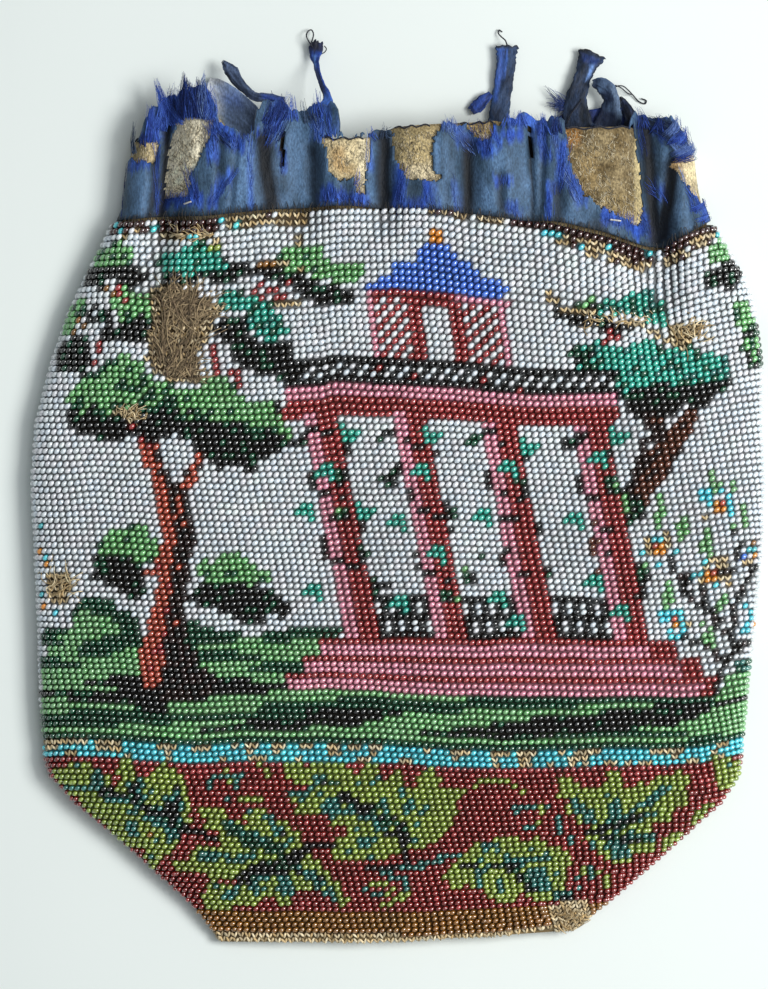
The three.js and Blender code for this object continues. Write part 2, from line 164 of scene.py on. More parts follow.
ROW_PITCH = np.array([(205, 6.8), (300, 6.75), (360, 6.6), (430, 6.4), (500, 6.35), (600, 6.15), (650, 6.2), (700, 6.1),
                      (745, 6.0), (770, 5.75), (850, 5.6), (900, 5.3), (950, 5.0)])
# How far a row dips below its height at u = 400, by row and by u.
ROW_BEND = [
    (210, [(40, 14), (107, 12.5), (143, 10.5), (164, 8.5), (200, 9.5), (262, 3.5), (330, -.5), (400, 0), (449, .5), (500, 7.5), (551, 13.5),
           (602, 26.5), (645, 40.5), (657, 41.5), (681, 27.5), (721, 13.5), (765, 2)]),
    (388, [(50, 0), (150, 2), (250, 3), (300, 2), (322, 1), (332, -2), (360, -1), (400, 0), (430, 2), (500, 8), (550, 9.5),
           (600, 10.5), (660, 8), (700, 4), (765, -6)]),
    (642, [(40, -5), (100, -2), (200, 0), (330, 1.5), (400, 0), (500, 1), (600, 2.5), (680, 1), (750, -4)]),
    (692, [(45, -9), (100, -6), (200, -4), (300, -2), (330, -3), (400, 0), (600, 5), (680, 4), (720, 3), (760, -3)]),
    (754.5, [(47, -9), (188, -3), (300, -2.5), (400, 0), (500, 3), (620, 3), (700, -2), (742, -9)]),
    (912, [(150, -4), (215, -2), (400, 0), (560, -6), (640, -12)]),
    (945, [(215, 0), (330, 2), (400, 0), (500, -5), (570, -15)]),
]
COLUMN_LEAN = np.array([(205, .06), (290, .08), (320, .14), (360, .15), (400, .19), (640, .19), (700, .2), (760, .22), (790, .27), (850, .25), (945, .22)])
COLUMN_AT = np.array([(-20, 301.9), (-7, 390.3), (6, 477.4), (19, 568.4)])  # at v = 390


def row_levels():
    up, down = [388.0], [388.0]
    for out, step in ((up, -1), (down, 1)):
        while 196 < out[-1] < 958:
            p = np.interp(out[-1], ROW_PITCH[:, 0], ROW_PITCH[:, 1])
            p = np.interp(out[-1] + step * p / 2, ROW_PITCH[:, 0], ROW_PITCH[:, 1])
            out.append(out[-1] + step * p)
    return {**{-k: v for k, v in enumerate(up)}, **{k: v for k, v in enumerate(down)}}


LEVEL = row_levels()


def row_of(v):
    """The row whose height at u = 400 is nearest to v."""
    return min(LEVEL, key=lambda r: abs(LEVEL[r] - v))


def bend(u, level):
    tables = np.array([np.interp(u, [p[0] for p in t], [p[1] for p in t]) for _, t in ROW_BEND])
    heights = np.array([h for h, _ in ROW_BEND], float)
    k = np.clip(np.searchsorted(heights, level) - 1, 0, len(heights) - 2)
    f = np.clip((level - heights[k]) / (heights[k + 1] - heights[k]), 0, 1)
    i = np.arange(len(u))
    return tables[k, i] * (1 - f) + tables[k + 1, i] * f


_lv = np.arange(190, 961.0)
_ls = np.concatenate([[0], np.cumsum(np.interp(_lv[:-1] + .5, COLUMN_LEAN[:, 0], COLUMN_LEAN[:, 1]))])
_ls -= np.interp(390, _lv, _ls)


def column_u(c, v):
    a = COLUMN_AT
    ref = np.interp(c, a[:, 0], a[:, 1])
    ref = np.where(c < -20, a[0, 1] + (c + 20) * 6.82, ref)
    ref = np.where(c > 19, a[-1, 1] + (c - 19) * 7.1, ref)
    return ref + np.interp(v, _lv, _ls)


def section_tables():
    e = np.linspace(-1, 1, 401)
    s = 0.55 * e + 0.45 * np.sin(math.pi / 2 * e)
    heights = np.arange(-108, 68.0, 1.0)
    tables = []
    for y in heights:
        thick = thick_at(y)
        mid = min(EDGE_MID, thick * 0.48)
        x = across(s, y)
        z = mid + (thick - mid) * np.sqrt(np.maximum(0, 1 - np.abs(s) ** 4))
        run = np.concatenate([[0], np.cumsum(np.hypot(np.diff(x), np.diff(z)))])
        tables.append(run - run[200] + x[200])
    return s, heights, np.array(tables)


_ss, _sh, _st = section_tables()


def share_along(flat, y):
    """The across share at a length measured along the knitting, and how far past the fold it is."""
    k = np.clip(np.round(y - _sh[0]).astype(int), 0, len(_sh) - 1)
    s, over = np.zeros(len(flat)), np.zeros(len(flat))
    for j in np.unique(k):
        m = k == j
        s[m] = np.interp(flat[m], _st[j], _ss)
        over[m] = np.maximum(flat[m] - _st[j, -1], 0) + np.maximum(_st[j, 0] - flat[m], 0)
    return s, over


def lattice():
    """Front cells of the knitting: row, column, plan place, across share, height, side."""
    rows, cols = sorted(LEVEL), np.arange(-70, 66)
    r, c = [a.ravel() for a in np.meshgrid(rows, cols, indexing="ij")]
    level = np.array([LEVEL[k] for k in rows])[np.searchsorted(rows, r)]
    v = level.copy()
    for _ in range(4):
        flat = (column_u(c, v) - 398) * MM
        s, over = share_along(flat, (492 - v) * MM)
        u = plan(across(s, (492 - v) * MM), 0)[0]
        v = level + bend(u, level)
    y = (492 - v) * MM
    x = across(s, y)
    keep = (over < 0.75) & (y < rim_at(x) - 0.35) & (y > base_at(x) + 0.4)
    # Past the fold a bead sits on the back's rounded edge.
    half = (sides(y)[1] - sides(y)[0]) / 2
    is_front = over <= 0
    s = np.where(is_front, s, np.sign(s) * (1 - 0.35 * over / half))
    return {k: a[keep] for k, a in dict(r=r, c=c, u=u, v=v, s=s, y=y, front=is_front).items()}


# ------------------------------------------------------------------ the picture
NAMES = ["white", "black", "green", "light_green", "dark_green", "sea_green", "turquoise", "cobalt", "orange", "brick",
         "dark_brown", "rust", "pink", "dark_red", "maroon", "olive", "teal", "gold", "rim_brown", "bare"]
(W, K, G, LG, DG, S, T, CB, OR, BR, DB, RU, P, DR, MR, OL, TL, GD, RB, X) = range(len(NAMES))


def chance(r, c, salt):
    """A repeatable number from 0 to 1 for a cell."""
    h = (r.astype(np.int64) * 73856093) ^ (c.astype(np.int64) * 19349663) ^ (salt * 83492791)
    h = (h ^ (h >> 13)) * 1274126177 & 0xFFFFFFFF
    h = (h ^ (h >> 16)) * 2246822519 & 0xFFFFFFFF
    return ((h ^ (h >> 15)) & 0xFFFFFF) / float(0x1000000)


class Chart:
    def __init__(self, cells):
        self.r, self.c, self.u, self.v = cells["r"], cells["c"], cells["u"], cells["v"]
        self.ink = np.full(len(self.r), W)
        self.salt = 1

    def put(self, mask, ink):
        """ink is one colour, or [(colour, share), ...] mixed cell by cell."""
        if not isinstance(ink, list):
            self.ink[mask] = ink
            return
        self.salt += 1
        roll, at = chance(self.r, self.c, self.salt), 0.0
        total = sum(w for _, w in ink)
        for colour, w in ink:
            self.ink[mask & (roll >= at) & (roll < at + w / total + 1e-9)] = colour
            at += w / total

    def inside(self, pts, ragged=0.0):
        u, v = self.u, self.v
        if ragged:
            self.salt += 1
            one = np.zeros_like(self.c)
            v = v + ragged * 2 * (chance(one, self.c, self.salt) - .5) + ragged * (chance(self.r, self.c, self.salt + 500) - .5)
        hit = np.zeros(len(u), bool)
        for (x0, y0), (x1, y1) in zip(pts, pts[1:] + pts[:1]):
            if y0 == y1:
                continue
            cross = ((y0 > v) != (y1 > v)) & (u < (x1 - x0) * (v - y0) / (y1 - y0) + x0)
            hit ^= cross
        return hit

    def poly(self, ink, pts, ragged=0.0):
        self.put(self.inside(pts, ragged), ink)

    def box(self, ink, u0, v0, u1, v1):
        self.put((self.u >= u0) & (self.u <= u1) & (self.v >= v0) & (self.v <= v1), ink)

    def oval(self, ink, u, v, ru, rv):
        self.put(((self.u - u) / ru) ** 2 + ((self.v - v) / rv) ** 2 <= 1, ink)

    def line(self, ink, pts, half=3.4):
        best = np.full(len(self.u), 1e9)
        for (x0, y0), (x1, y1) in zip(pts, pts[1:]):
            dx, dy = x1 - x0, y1 - y0
            t = np.clip(((self.u - x0) * dx + (self.v - y0) * dy) / max(dx * dx + dy * dy, 1e-9), 0, 1)
            best = np.minimum(best, np.hypot(self.u - x0 - t * dx, self.v - y0 - t * dy))
        self.put(best <= half, ink)

    def dot(self, ink, *places):
        for u, v in places:
            d = np.hypot(self.u - u, self.v - v)
            self.ink[d.argmin()] = ink

    def rows(self, ink, r0, r1, u0, u1):
        self.put((self.r >= r0) & (self.r <= r1) & (self.u >= u0) & (self.u <= u1), ink)

    def cols(self, ink, c0, c1, r0, r1):
        self.put((self.c >= c0) & (self.c <= c1) & (self.r >= r0) & (self.r <= r1), ink)
# Mixed inks of the foliage and ground.
LEAF = [(G, 7), (LG, 1.5), (DG, 1.5)]
LEAF_DARK = [(DG, 6), (G, 2), (K, 2)]
SEA = [(S, 8), (TL, 1), (DG, 1)]
SHADE = [(K, 8), (DG, 1.5)]
GRASS = [(LG, 8), (G, 2)]
OLIVE = [(OL, 9.6), (TL, .4)]
BRANCH = [(K, 7), (DB, 3)]


def picture(ch):
    left_tree(ch)
    right_tree(ch)
    ground(ch)
    pavilion(ch)
    shrub(ch)
    border(ch)
    rim(ch)


def left_tree(ch):
    poly, box, line, dot, rows = ch.poly, ch.box, ch.line, ch.dot, ch.rows
    # Upper tufts under the rim.
    poly(SHADE, [(83, 270), (96, 262), (134, 262), (147, 272), (143, 284), (128, 292), (112, 288), (98, 292), (82, 286)], 2)
    poly(LEAF, [(90, 262), (95, 246), (118, 243), (134, 247), (136, 262), (120, 268), (96, 268)], 2)
    dot(W, (108, 284), (115, 280), (122, 286), (88, 290), (96, 296), (104, 294))
    poly(SHADE, [(163, 270), (178, 272), (199, 266), (222, 260), (242, 266), (262, 264), (290, 270), (318, 282), (350, 292), (352, 302), (322, 303), (300, 298),
                 (288, 288), (266, 276), (250, 272), (240, 284), (216, 284), (206, 278), (190, 284), (164, 282)], 2)
    poly(SEA, [(155, 262), (158, 248), (172, 250), (188, 246), (190, 234), (202, 234), (206, 250), (217, 252), (219, 262), (232, 260), (231, 268), (212, 268), (200, 272),
               (186, 278), (170, 270), (158, 272)], 1)
    line(OL, [(206, 246), (216, 248)], 2.6)
    poly(LEAF, [(275, 262), (279, 246), (300, 242), (322, 246), (326, 262), (362, 268), (366, 278), (350, 286), (324, 280), (304, 274), (284, 272)], 2)
    poly(SHADE, [(256, 268), (274, 262), (284, 272), (304, 276), (326, 284), (350, 290), (350, 302), (318, 300), (292, 288), (262, 276)], 2)
    poly(W, [(231, 275), (254, 274), (252, 290), (236, 292)])
    line(DR, [(254, 290), (262, 284), (270, 292), (280, 288), (288, 284)], 2.8)
    dot(DR, (262, 298), (272, 299), (282, 297), (256, 302))
    poly(SEA, [(214, 292), (226, 288), (246, 290), (250, 300), (272, 298), (270, 312), (284, 318), (286, 330), (272, 341), (256, 338), (248, 322), (244, 312), (220, 312)], 1)
    dot(W, (206, 290), (213, 287), (219, 294), (226, 290), (211, 297))
    poly(SHADE, [(214, 322), (240, 314), (250, 332), (262, 342), (284, 336), (292, 346), (294, 378), (264, 376), (242, 366), (226, 350), (216, 338)], 2)
    # Left side: greens over blacks, with white strings of sky.
    poly(LEAF, [(112, 300), (124, 290), (150, 290), (152, 318), (134, 328), (118, 326)], 2)
    poly([(DG, 5), (G, 4), (K, 2)], [(116, 312), (150, 312), (150, 326), (120, 330)], 2)
    poly(LEAF, [(68, 302), (82, 296), (88, 308), (78, 318), (70, 334), (58, 338)], 2)
    dot(GD, (76, 322), (80, 328), (74, 332), (108, 290), (112, 294))
    dot(DR, (116, 298), (127, 304), (120, 292))
    poly(SHADE, [(83, 314), (92, 308), (112, 310), (112, 328), (98, 330), (86, 326)], 2)
    poly(SHADE, [(101, 326), (118, 326), (150, 318), (152, 344), (128, 348), (104, 344)], 2)
    poly(SHADE, [(52, 356), (60, 342), (74, 334), (86, 338), (88, 352), (92, 364), (84, 378), (54, 372)], 2)
    line(W, [(84, 288), (94, 300), (100, 308), (92, 316)], 2.6)
    line(W, [(88, 334), (98, 328), (106, 322)], 2.4)
    poly(W, [(90, 338), (104, 344), (128, 346), (146, 344), (147, 356), (130, 358), (112, 366), (96, 376), (88, 370), (94, 356)])
    line(DR, [(92, 361), (98, 367), (108, 370), (116, 368)], 2.7)
    dot(DR, (96, 352), (100, 347))
    poly(W, [(146, 226), (156, 230), (158, 246), (152, 262), (158, 274), (152, 290), (144, 290), (146, 268), (134, 262), (138, 246)])
    poly(W, [(192, 344), (206, 340), (210, 366), (200, 370), (194, 360)])
    line(W, [(219, 336), (226, 346), (230, 358)], 2.8)
    line(DR, [(212, 346), (214, 358), (214, 370)], 3.6)
    line(DR, [(226, 366), (234, 374), (240, 370), (238, 384)], 3.0)
    # The lost patch where the beads are gone.
    poly(X, [(152, 284), (168, 284), (186, 290), (204, 297), (224, 308), (214, 320), (212, 332), (202, 345), (196, 360), (204, 374),
             (198, 384), (176, 381), (160, 376), (148, 364), (146, 350), (152, 320), (150, 300)])
    # Lower crown: black underneath, dark green, then green to the top.
    poly(SHADE, [(62, 412), (80, 404), (150, 392), (200, 396), (246, 404), (278, 404), (288, 428), (302, 438), (288, 446), (270, 456), (262, 462), (250, 470), (238, 464),
                 (222, 470), (206, 460), (199, 458), (186, 440), (172, 434), (158, 448), (146, 448), (130, 440), (112, 444), (94, 438), (76, 436)], 3)
    poly(LEAF_DARK, [(66, 408), (90, 400), (150, 390), (200, 396), (250, 404), (280, 410), (286, 428), (262, 434), (236, 430), (214, 422), (196, 418), (176, 414), (158, 408), (140, 416),
                     (110, 420), (80, 416)], 3)
    poly(LEAF, [(66, 403), (76, 390), (87, 375), (104, 366), (119, 357), (134, 356), (145, 364), (152, 381), (176, 384), (199, 386), (204, 374), (220, 371), (235, 386), (246, 400),
                (275, 401), (284, 424), (268, 426), (228, 421), (192, 406), (166, 399), (148, 394), (128, 406), (104, 411), (80, 406)], 2)
    poly([(LG, 6), (G, 4)], [(204, 380), (220, 374), (234, 390), (248, 404), (272, 404), (278, 416), (250, 414), (226, 408), (206, 398)], 2)
    poly(X, [(112, 409), (126, 411), (138, 408), (136, 418), (128, 424), (116, 416)])
    dot(DR, (131, 431), (139, 443))
    dot(G, (286, 430), (292, 436), (280, 432))
    # Trunk: a red light side and a dark right side, forked under the crown.
    trunk = [(445, 140, 151, 157), (470, 147, 159, 166), (490, 156, 168, 184), (520, 162, 177, 196), (540, 161, 177, 195), (560, 156, 171, 190),
             (580, 157, 172, 188), (600, 152, 168, 184), (620, 148, 167, 184), (640, 144, 165, 190), (660, 143, 163, 198), (674, 141, 165, 207), (690, 138, 172, 218)]
    poly(W, [(157, 444), (172, 432), (188, 440), (200, 456), (196, 470), (184, 482), (168, 474), (160, 458)])
    for ink, a, b in (([(BR, 8), (DR, 1)], 1, 2), ([(DB, 7), (K, 2), (BR, 1)], 2, 3)):
        poly(ink, [(t[a], t[0]) for t in trunk] + [(t[b], t[0]) for t in trunk[::-1]])
    poly([(BR, 5), (DB, 4)], [(196, 448), (206, 448), (204, 462), (196, 480), (190, 496), (174, 500), (184, 480), (192, 464)])


def right_tree(ch):
    poly, box, line, dot = ch.poly, ch.box, ch.line, ch.dot
    poly([(LG, 5), (G, 4)], [(706, 246), (720, 236), (728, 242), (734, 256), (722, 264), (708, 262)], 2)
    poly(SHADE, [(703, 278), (714, 268), (724, 260), (736, 258), (746, 274), (736, 290), (722, 284), (706, 290)], 2)
    poly([(G, 6), (LG, 3), (DG, 2)], [(736, 306), (752, 302), (760, 326), (744, 336), (738, 320)], 2)
    poly([(DG, 5), (K, 5), (G, 2)], [(742, 332), (762, 322), (768, 366), (752, 366), (744, 350)], 2)
    poly(SEA, [(584, 306), (602, 302), (622, 300), (636, 291), (658, 294), (668, 308), (668, 326), (650, 322), (632, 314), (612, 314), (590, 314)], 1.5)
    poly(LEAF_DARK, [(575, 304), (590, 300), (604, 308), (600, 316), (582, 314)], 2)
    poly(SHADE, [(551, 308), (570, 308), (600, 318), (630, 324), (634, 332), (614, 334), (596, 330), (572, 326), (556, 318)], 1)
    line(X, [(546, 294), (555, 304), (578, 310), (599, 317), (618, 319)], 2.6)
    line(X, [(626, 322), (642, 326), (658, 334), (672, 344)], 3.2)
    dot(DR, (608, 338), (619, 341), (612, 332), (604, 343))
    poly(SHADE, [(602, 366), (640, 378), (690, 376), (733, 370), (728, 386), (714, 396), (702, 408), (692, 416), (684, 406), (670, 418), (654, 416), (640, 422), (628, 412), (616, 398)], 2)
    poly(SEA, [(579, 350), (596, 345), (622, 347), (646, 342), (668, 344), (690, 346), (716, 350), (731, 360), (733, 374), (716, 378), (690, 384), (664, 382), (640, 388), (620, 386),
               (600, 376), (584, 366)], 2)
    poly([(S, 4), (DG, 4), (K, 2)], [(569, 352), (584, 344), (596, 356), (606, 368), (626, 384), (640, 390), (616, 392), (592, 378), (574, 370)], 2)
    poly(X, [(666, 320), (682, 326), (694, 322), (710, 318), (700, 332), (690, 344), (678, 353), (672, 342)])
    poly([(DB, 6), (RU, 3)], [(640, 412), (657, 412), (664, 436), (652, 444), (646, 430)])
    poly([(RU, 7), (DB, 3)], [(678, 414), (697, 410), (690, 430), (682, 450), (668, 472), (652, 496), (636, 518), (626, 532), (608, 532),
                             (622, 506), (632, 480), (646, 452), (660, 436), (672, 428)])
    line([(DB, 8), (K, 2)], [(646, 440), (642, 462), (630, 486), (618, 512), (610, 530)], 5)


def strips(ch, table):
    """Rows given as {row: ((ink, from, to), ...)} in plan units."""
    for r, runs in table.items():
        for ink, a, b in runs:
            ch.rows(ink, r, r, a, b)


def ground(ch):
    poly, line = ch.poly, ch.line
    # Bushes either side of the trunk.
    poly(LEAF, [(97, 545), (110, 532), (122, 528), (150, 530), (160, 548), (150, 562), (130, 562), (98, 558)], 2)
    poly(SHADE, [(93, 556), (125, 556), (136, 562), (146, 590), (138, 600), (108, 587), (91, 574)], 2)
    line(BR, [(140, 568), (152, 573), (166, 578)], 3)
    poly(LEAF, [(193, 570), (204, 557), (216, 562), (228, 552), (247, 558), (256, 568), (272, 575), (274, 584), (230, 588), (198, 578)], 2)
    poly(SHADE, [(190, 600), (205, 580), (262, 587), (296, 602), (286, 618), (270, 614), (262, 629), (238, 620), (212, 607)], 2)
    # Hills and lawn in rows of light and dark.
    left = {34: ((DG, 77, 111),), 35: ((DG, 72, 117),), 36: ((DG, 71, 128), (GRASS, 77, 92)), 37: ((GRASS, 70, 109), (DG, 109, 140)), 38: ((GRASS, 69, 118), (DG, 118, 141)),
            39: ((DG, 41, 63), (GRASS, 69, 120), (DG, 120, 141)), 40: ((DG, 38, 54), (GRASS, 54, 100), (DG, 100, 141)), 41: ((DG, 38, 62), (GRASS, 62, 79), (DG, 79, 141)),
            42: ((GRASS, 44, 60), (GRASS, 60, 79), (DG, 79, 120), (G, 120, 141)), 43: ((GRASS, 44, 79), (DG, 79, 114), (G, 114, 141)), 44: ((DG, 38, 57), (GRASS, 57, 141)),
            45: ((DG, 38, 76), (GRASS, 76, 141)), 46: ((GRASS, 38, 141),), 47: ((GRASS, 38, 107), (SHADE, 107, 145)), 48: ((GRASS, 38, 79), (SHADE, 79, 145)),
            49: ((GRASS, 38, 118), (SHADE, 118, 150)), 50: ((SHADE, 36, 209),), 51: ((GRASS, 38, 65), (SHADE, 65, 170)), 52: ((GRASS, 38, 132), (SHADE, 132, 172)),
            53: ((GRASS, 38, 69), (DG, 69, 172)), 54: ((DG, 38, 172),), 55: ((DG, 38, 118), (GRASS, 118, 160), (G, 160, 172)), 56: ((GRASS, 38, 150), (G, 150, 172)),
            57: ((DG, 38, 172),)}
    right = {37: ((DG, 185, 200),), 38: ((DG, 185, 214), (DG, 286, 341)), 39: ((DG, 185, 240), (DG, 262, 341)), 40: ((DG, 185, 240), (GRASS, 240, 261), (DG, 261, 292), (GRASS, 292, 321)),
             41: ((DG, 185, 200), (GRASS, 200, 240), (G, 240, 288), (GRASS, 288, 321)), 42: ((DG, 190, 240), (GRASS, 240, 321)), 43: ((DG, 195, 261), (GRASS, 261, 305)),
             44: ((GRASS, 199, 260), (DG, 260, 303)), 45: ((GRASS, 203, 248), (DG, 248, 303)), 46: ((GRASS, 214, 288),), 47: ((SHADE, 200, 252), (GRASS, 252, 287)),
             48: ((SHADE, 185, 287),), 49: ((SHADE, 185, 270), (GRASS, 270, 468), (DG, 468, 712)), 50: ((GRASS, 208, 334), (DG, 334, 578), (GRASS, 578, 652), (SHADE, 652, 760)),
             51: ((GRASS, 170, 260), (DG, 260, 460), (GRASS, 460, 596), (SHADE, 596, 712), (GRASS, 712, 760)), 52: ((GRASS, 172, 256), (DG, 256, 304), (SHADE, 304, 402), (GRASS, 402, 531), (SHADE, 531, 700), (GRASS, 700, 760)),
             53: ((DG, 170, 304), (SHADE, 304, 384), (GRASS, 384, 490), (SHADE, 490, 680), (GRASS, 680, 760)), 54: ((GRASS, 172, 246), (SHADE, 246, 360), (GRASS, 360, 453), (SHADE, 453, 636), (GRASS, 636, 760)),
             55: ((GRASS, 172, 201), (SHADE, 201, 312), (GRASS, 312, 420), (SHADE, 420, 562), (DG, 562, 690), (GRASS, 690, 760)), 56: ((GRASS, 172, 690), (DG, 690, 720), (GRASS, 720, 760)),
             57: ((DG, 172, 760),)}
    strips(ch, left)
    strips(ch, right)
    poly([(BR, 8), (DR, 1)], [(139, 636), (150, 636), (165, 640), (163, 680), (152, 692), (140, 688)])
    poly([(DB, 6), (K, 4)], [(164, 640), (188, 640), (200, 660), (214, 674), (214, 696), (160, 700), (152, 690), (163, 680)])
    # The rise beside the steps.
    for r in range(46, 50):
        ch.rows(GRASS, r, r, 714 if r > 47 else 728, 760)
    ch.rows([(TL, 6), (DG, 4)], 44, 45, 738, 760)
    # The river of turquoise, with cream stitches showing where beads are lost.
    ch.rows(T, 58, 60, 30, 760)
    gone = chance(ch.r // 2, ch.c // 2, 77) + 0.35 * chance(ch.r, ch.c, 78)
    ch.put((ch.r >= 58) & (ch.r <= 60) & (gone > 1.0) & (ch.u > 30), X)
    ch.put((ch.r == 58) & (chance(ch.r, ch.c, 79) < 0.3), X)


def pavilion(ch):
    poly, box, line, dot, rows, cols = ch.poly, ch.box, ch.line, ch.dot, ch.rows, ch.cols
    # Roof.
    poly(CB, [(428, 243), (446, 243), (452, 252), (460, 262), (478, 268), (486, 279), (505, 284), (509, 296), (364, 296), (369, 283), (386, 278), (394, 268), (414, 262), (421, 252)])
    for u, v in ((433, 233), (441, 233), (433, 240), (441, 240)):
        dot(OR, (u, v))
    # Upper storey.
    lo, hi = row_of(297), row_of(356)
    storey = (ch.r >= lo) & (ch.r <= hi)
    lean = ch.u - (ch.v - 300) * 0.12
    ch.put(storey & (lean > 368) & (lean < 504), W)
    ch.put(storey & (lean > 375) & (lean < 411) & ((ch.r + ch.c) % 2 == 0), DR)
    ch.put(storey & (lean > 460) & (lean < 494) & ((ch.r + ch.c) % 2 == 0), DR)
    ch.put(storey & (lean > 368) & (lean <= 375), P)
    ch.put(storey & (lean > 494) & (lean < 502), P)
    ch.put(storey & (lean > 408) & (lean < 422), DR)
    ch.put(storey & (lean > 449) & (lean < 462), DR)
    rows(DR, lo, lo, 371, 455)
    rows(DR, lo + 1, lo + 1, 406, 462)
    rows(P, lo, lo, 455, 508)
    # Balcony: two rows of white beads, each on every second column, edged with black.
    rows(K, -4, -1, 286, 616)
    here = (ch.u > 300) & (ch.u < 612)
    ch.put(here & (ch.r == -3) & (ch.c % 2 == 0), W)
    ch.put(here & (ch.r == -2) & (ch.c % 2 == 1), W)
    dot(DR, (378, 366), (418, 374), (480, 381), (521, 388))
    # Beam.
    rows(P, 0, 1, 284, 614)
    rows(DR, 2, 4, 285, 617)
    rows(P, 4, 4, 303, 318)
    rows(P, 4, 4, 392, 405)
    # Posts, thirteen columns apart, pink with a dark red shaded side, and balustrades between.
    last = row_of(642) - 1
    for k in range(4):
        c = -20 + 13 * k
        cols(P, c, c + 1, 5, last)
        cols(DR, c + 2, c + 4, 5, last)
        if k < 3:
            cols(K, c + 5, c + 12, last - 6, last)
            for r, o in ((last - 5, 0), (last - 4, 0), (last - 2, 1), (last - 1, 1)):
                ch.put((ch.r == r) & (ch.c >= c + 5) & (ch.c <= c + 12) & ((ch.c - c - 5) % 2 == o), W)
    # Climbing vines: dark stems winding over the posts, black leaves and sea-green trefoils.
    stems = {6: ((307, 319), (482, 494), (574, 586)), 7: ((321, 333), (391, 396), (574, 584)), 8: ((400, 411), (501, 508)), 9: ((412, 424), (343, 349), (606, 614)), 10: ((342, 349), (430, 437), (521, 527)),
             13: ((308, 314), (486, 493), (578, 583)), 14: ((309, 315), (487, 494), (578, 583)), 15: ((311, 317), (488, 495), (579, 584)), 16: ((319, 333), (404, 411), (500, 511), (588, 600)),
             17: ((340, 348), (405, 412), (514, 520)), 19: ((414, 427),), 20: ((330, 337), (429, 442), (501, 519)), 21: ((358, 364), (537, 543), (600, 611)), 22: ((359, 365), (448, 454), (538, 544)),
             23: ((321, 327),), 24: ((321, 327),), 25: ((322, 328), (502, 508), (600, 612)), 26: ((323, 329), (414, 420), (502, 508)), 27: ((331, 344), (416, 421), (503, 509)), 28: ((347, 357), (417, 423), (512, 518)),
             29: ((424, 438), (513, 530)), 30: ((441, 453),), 32: ((634, 646),)}
    for r, runs in stems.items():
        for a, b in runs:
            ch.rows(BRANCH, r, r, a, b)
    dark = {7: ((297, 305), (378, 386), (470, 480), (562, 573)), 8: ((294, 305), (373, 386), (467, 480), (559, 573)), 12: ((392, 400),), 13: ((386, 400), (332, 346), (512, 522), (602, 614)),
            14: ((379, 396), (332, 347), (513, 524), (602, 616)), 15: ((386, 398), (334, 346), (518, 528), (603, 616)), 16: ((519, 530), (622, 640)), 17: ((622, 644),), 18: ((444, 452), (624, 646)), 19: ((445, 458), (336, 350), (622, 644)),
            20: ((447, 460), (337, 351), (512, 520), (622, 632)), 25: ((356, 364),), 26: ((356, 369), (480, 486)), 27: ((358, 367), (633, 645)), 28: ((460, 468), (542, 549), (632, 648)), 29: ((460, 474), (542, 550), (634, 648)),
            30: ((371, 378), (462, 476), (634, 646)), 31: ((372, 388), (636, 644)), 32: ((372, 378), (440, 452)), 33: ((442, 458),)}
    for r, runs in dark.items():
        for a, b in runs:
            ch.rows([(K, 5), (DG, 4), (G, 1)], r, r, a, b)
    for r, a, b in ((20, 588, 594), (21, 589, 594), (22, 589, 594), (23, 586, 597), (24, 586, 598), (25, 587, 597), (28, 592, 600), (29, 593, 600)):
        ch.rows(RU, r, r, a, b)
    # One trefoil, three beads over two over one, set along the stems and turned over now and then.
    drooping = ((0, 0), (0, 1), (1, -1), (1, 0), (1, 1), (2, 1))
    rising = ((0, 0), (1, 0), (1, 1), (1, 2), (2, 0), (2, 1))
    for shape, places in ((drooping, ((320, 465), (300, 506), (393, 517), (311, 583), (398, 599), (415, 466), (434, 549), (503, 464), (480, 511), (494, 596), (594, 456), (570, 513), (590, 577), (514, 617), (615, 606))),
                          (rising, ((341, 427), (357, 502), (423, 427), (519, 440), (609, 431)))):
        for u, v in places:
            k = np.argmin((ch.u - u) ** 2 + (ch.v - v) ** 2)
            for dr, dc in shape:
                ch.put((ch.r == ch.r[k] + dr) & (ch.c == ch.c[k] + dc), S)
    # Steps.
    r = row_of(642)
    for k, (a, b, e) in enumerate(((321, 652, 678), (303, 682, 700), (287, 703, 716))):
        rows(DR, r + 3 * k, r + 3 * k, a, e)
        rows(P, r + 3 * k + 1, r + 3 * k + 2, a, b)
        rows(DR, r + 3 * k + 1, r + 3 * k + 2, b, e)


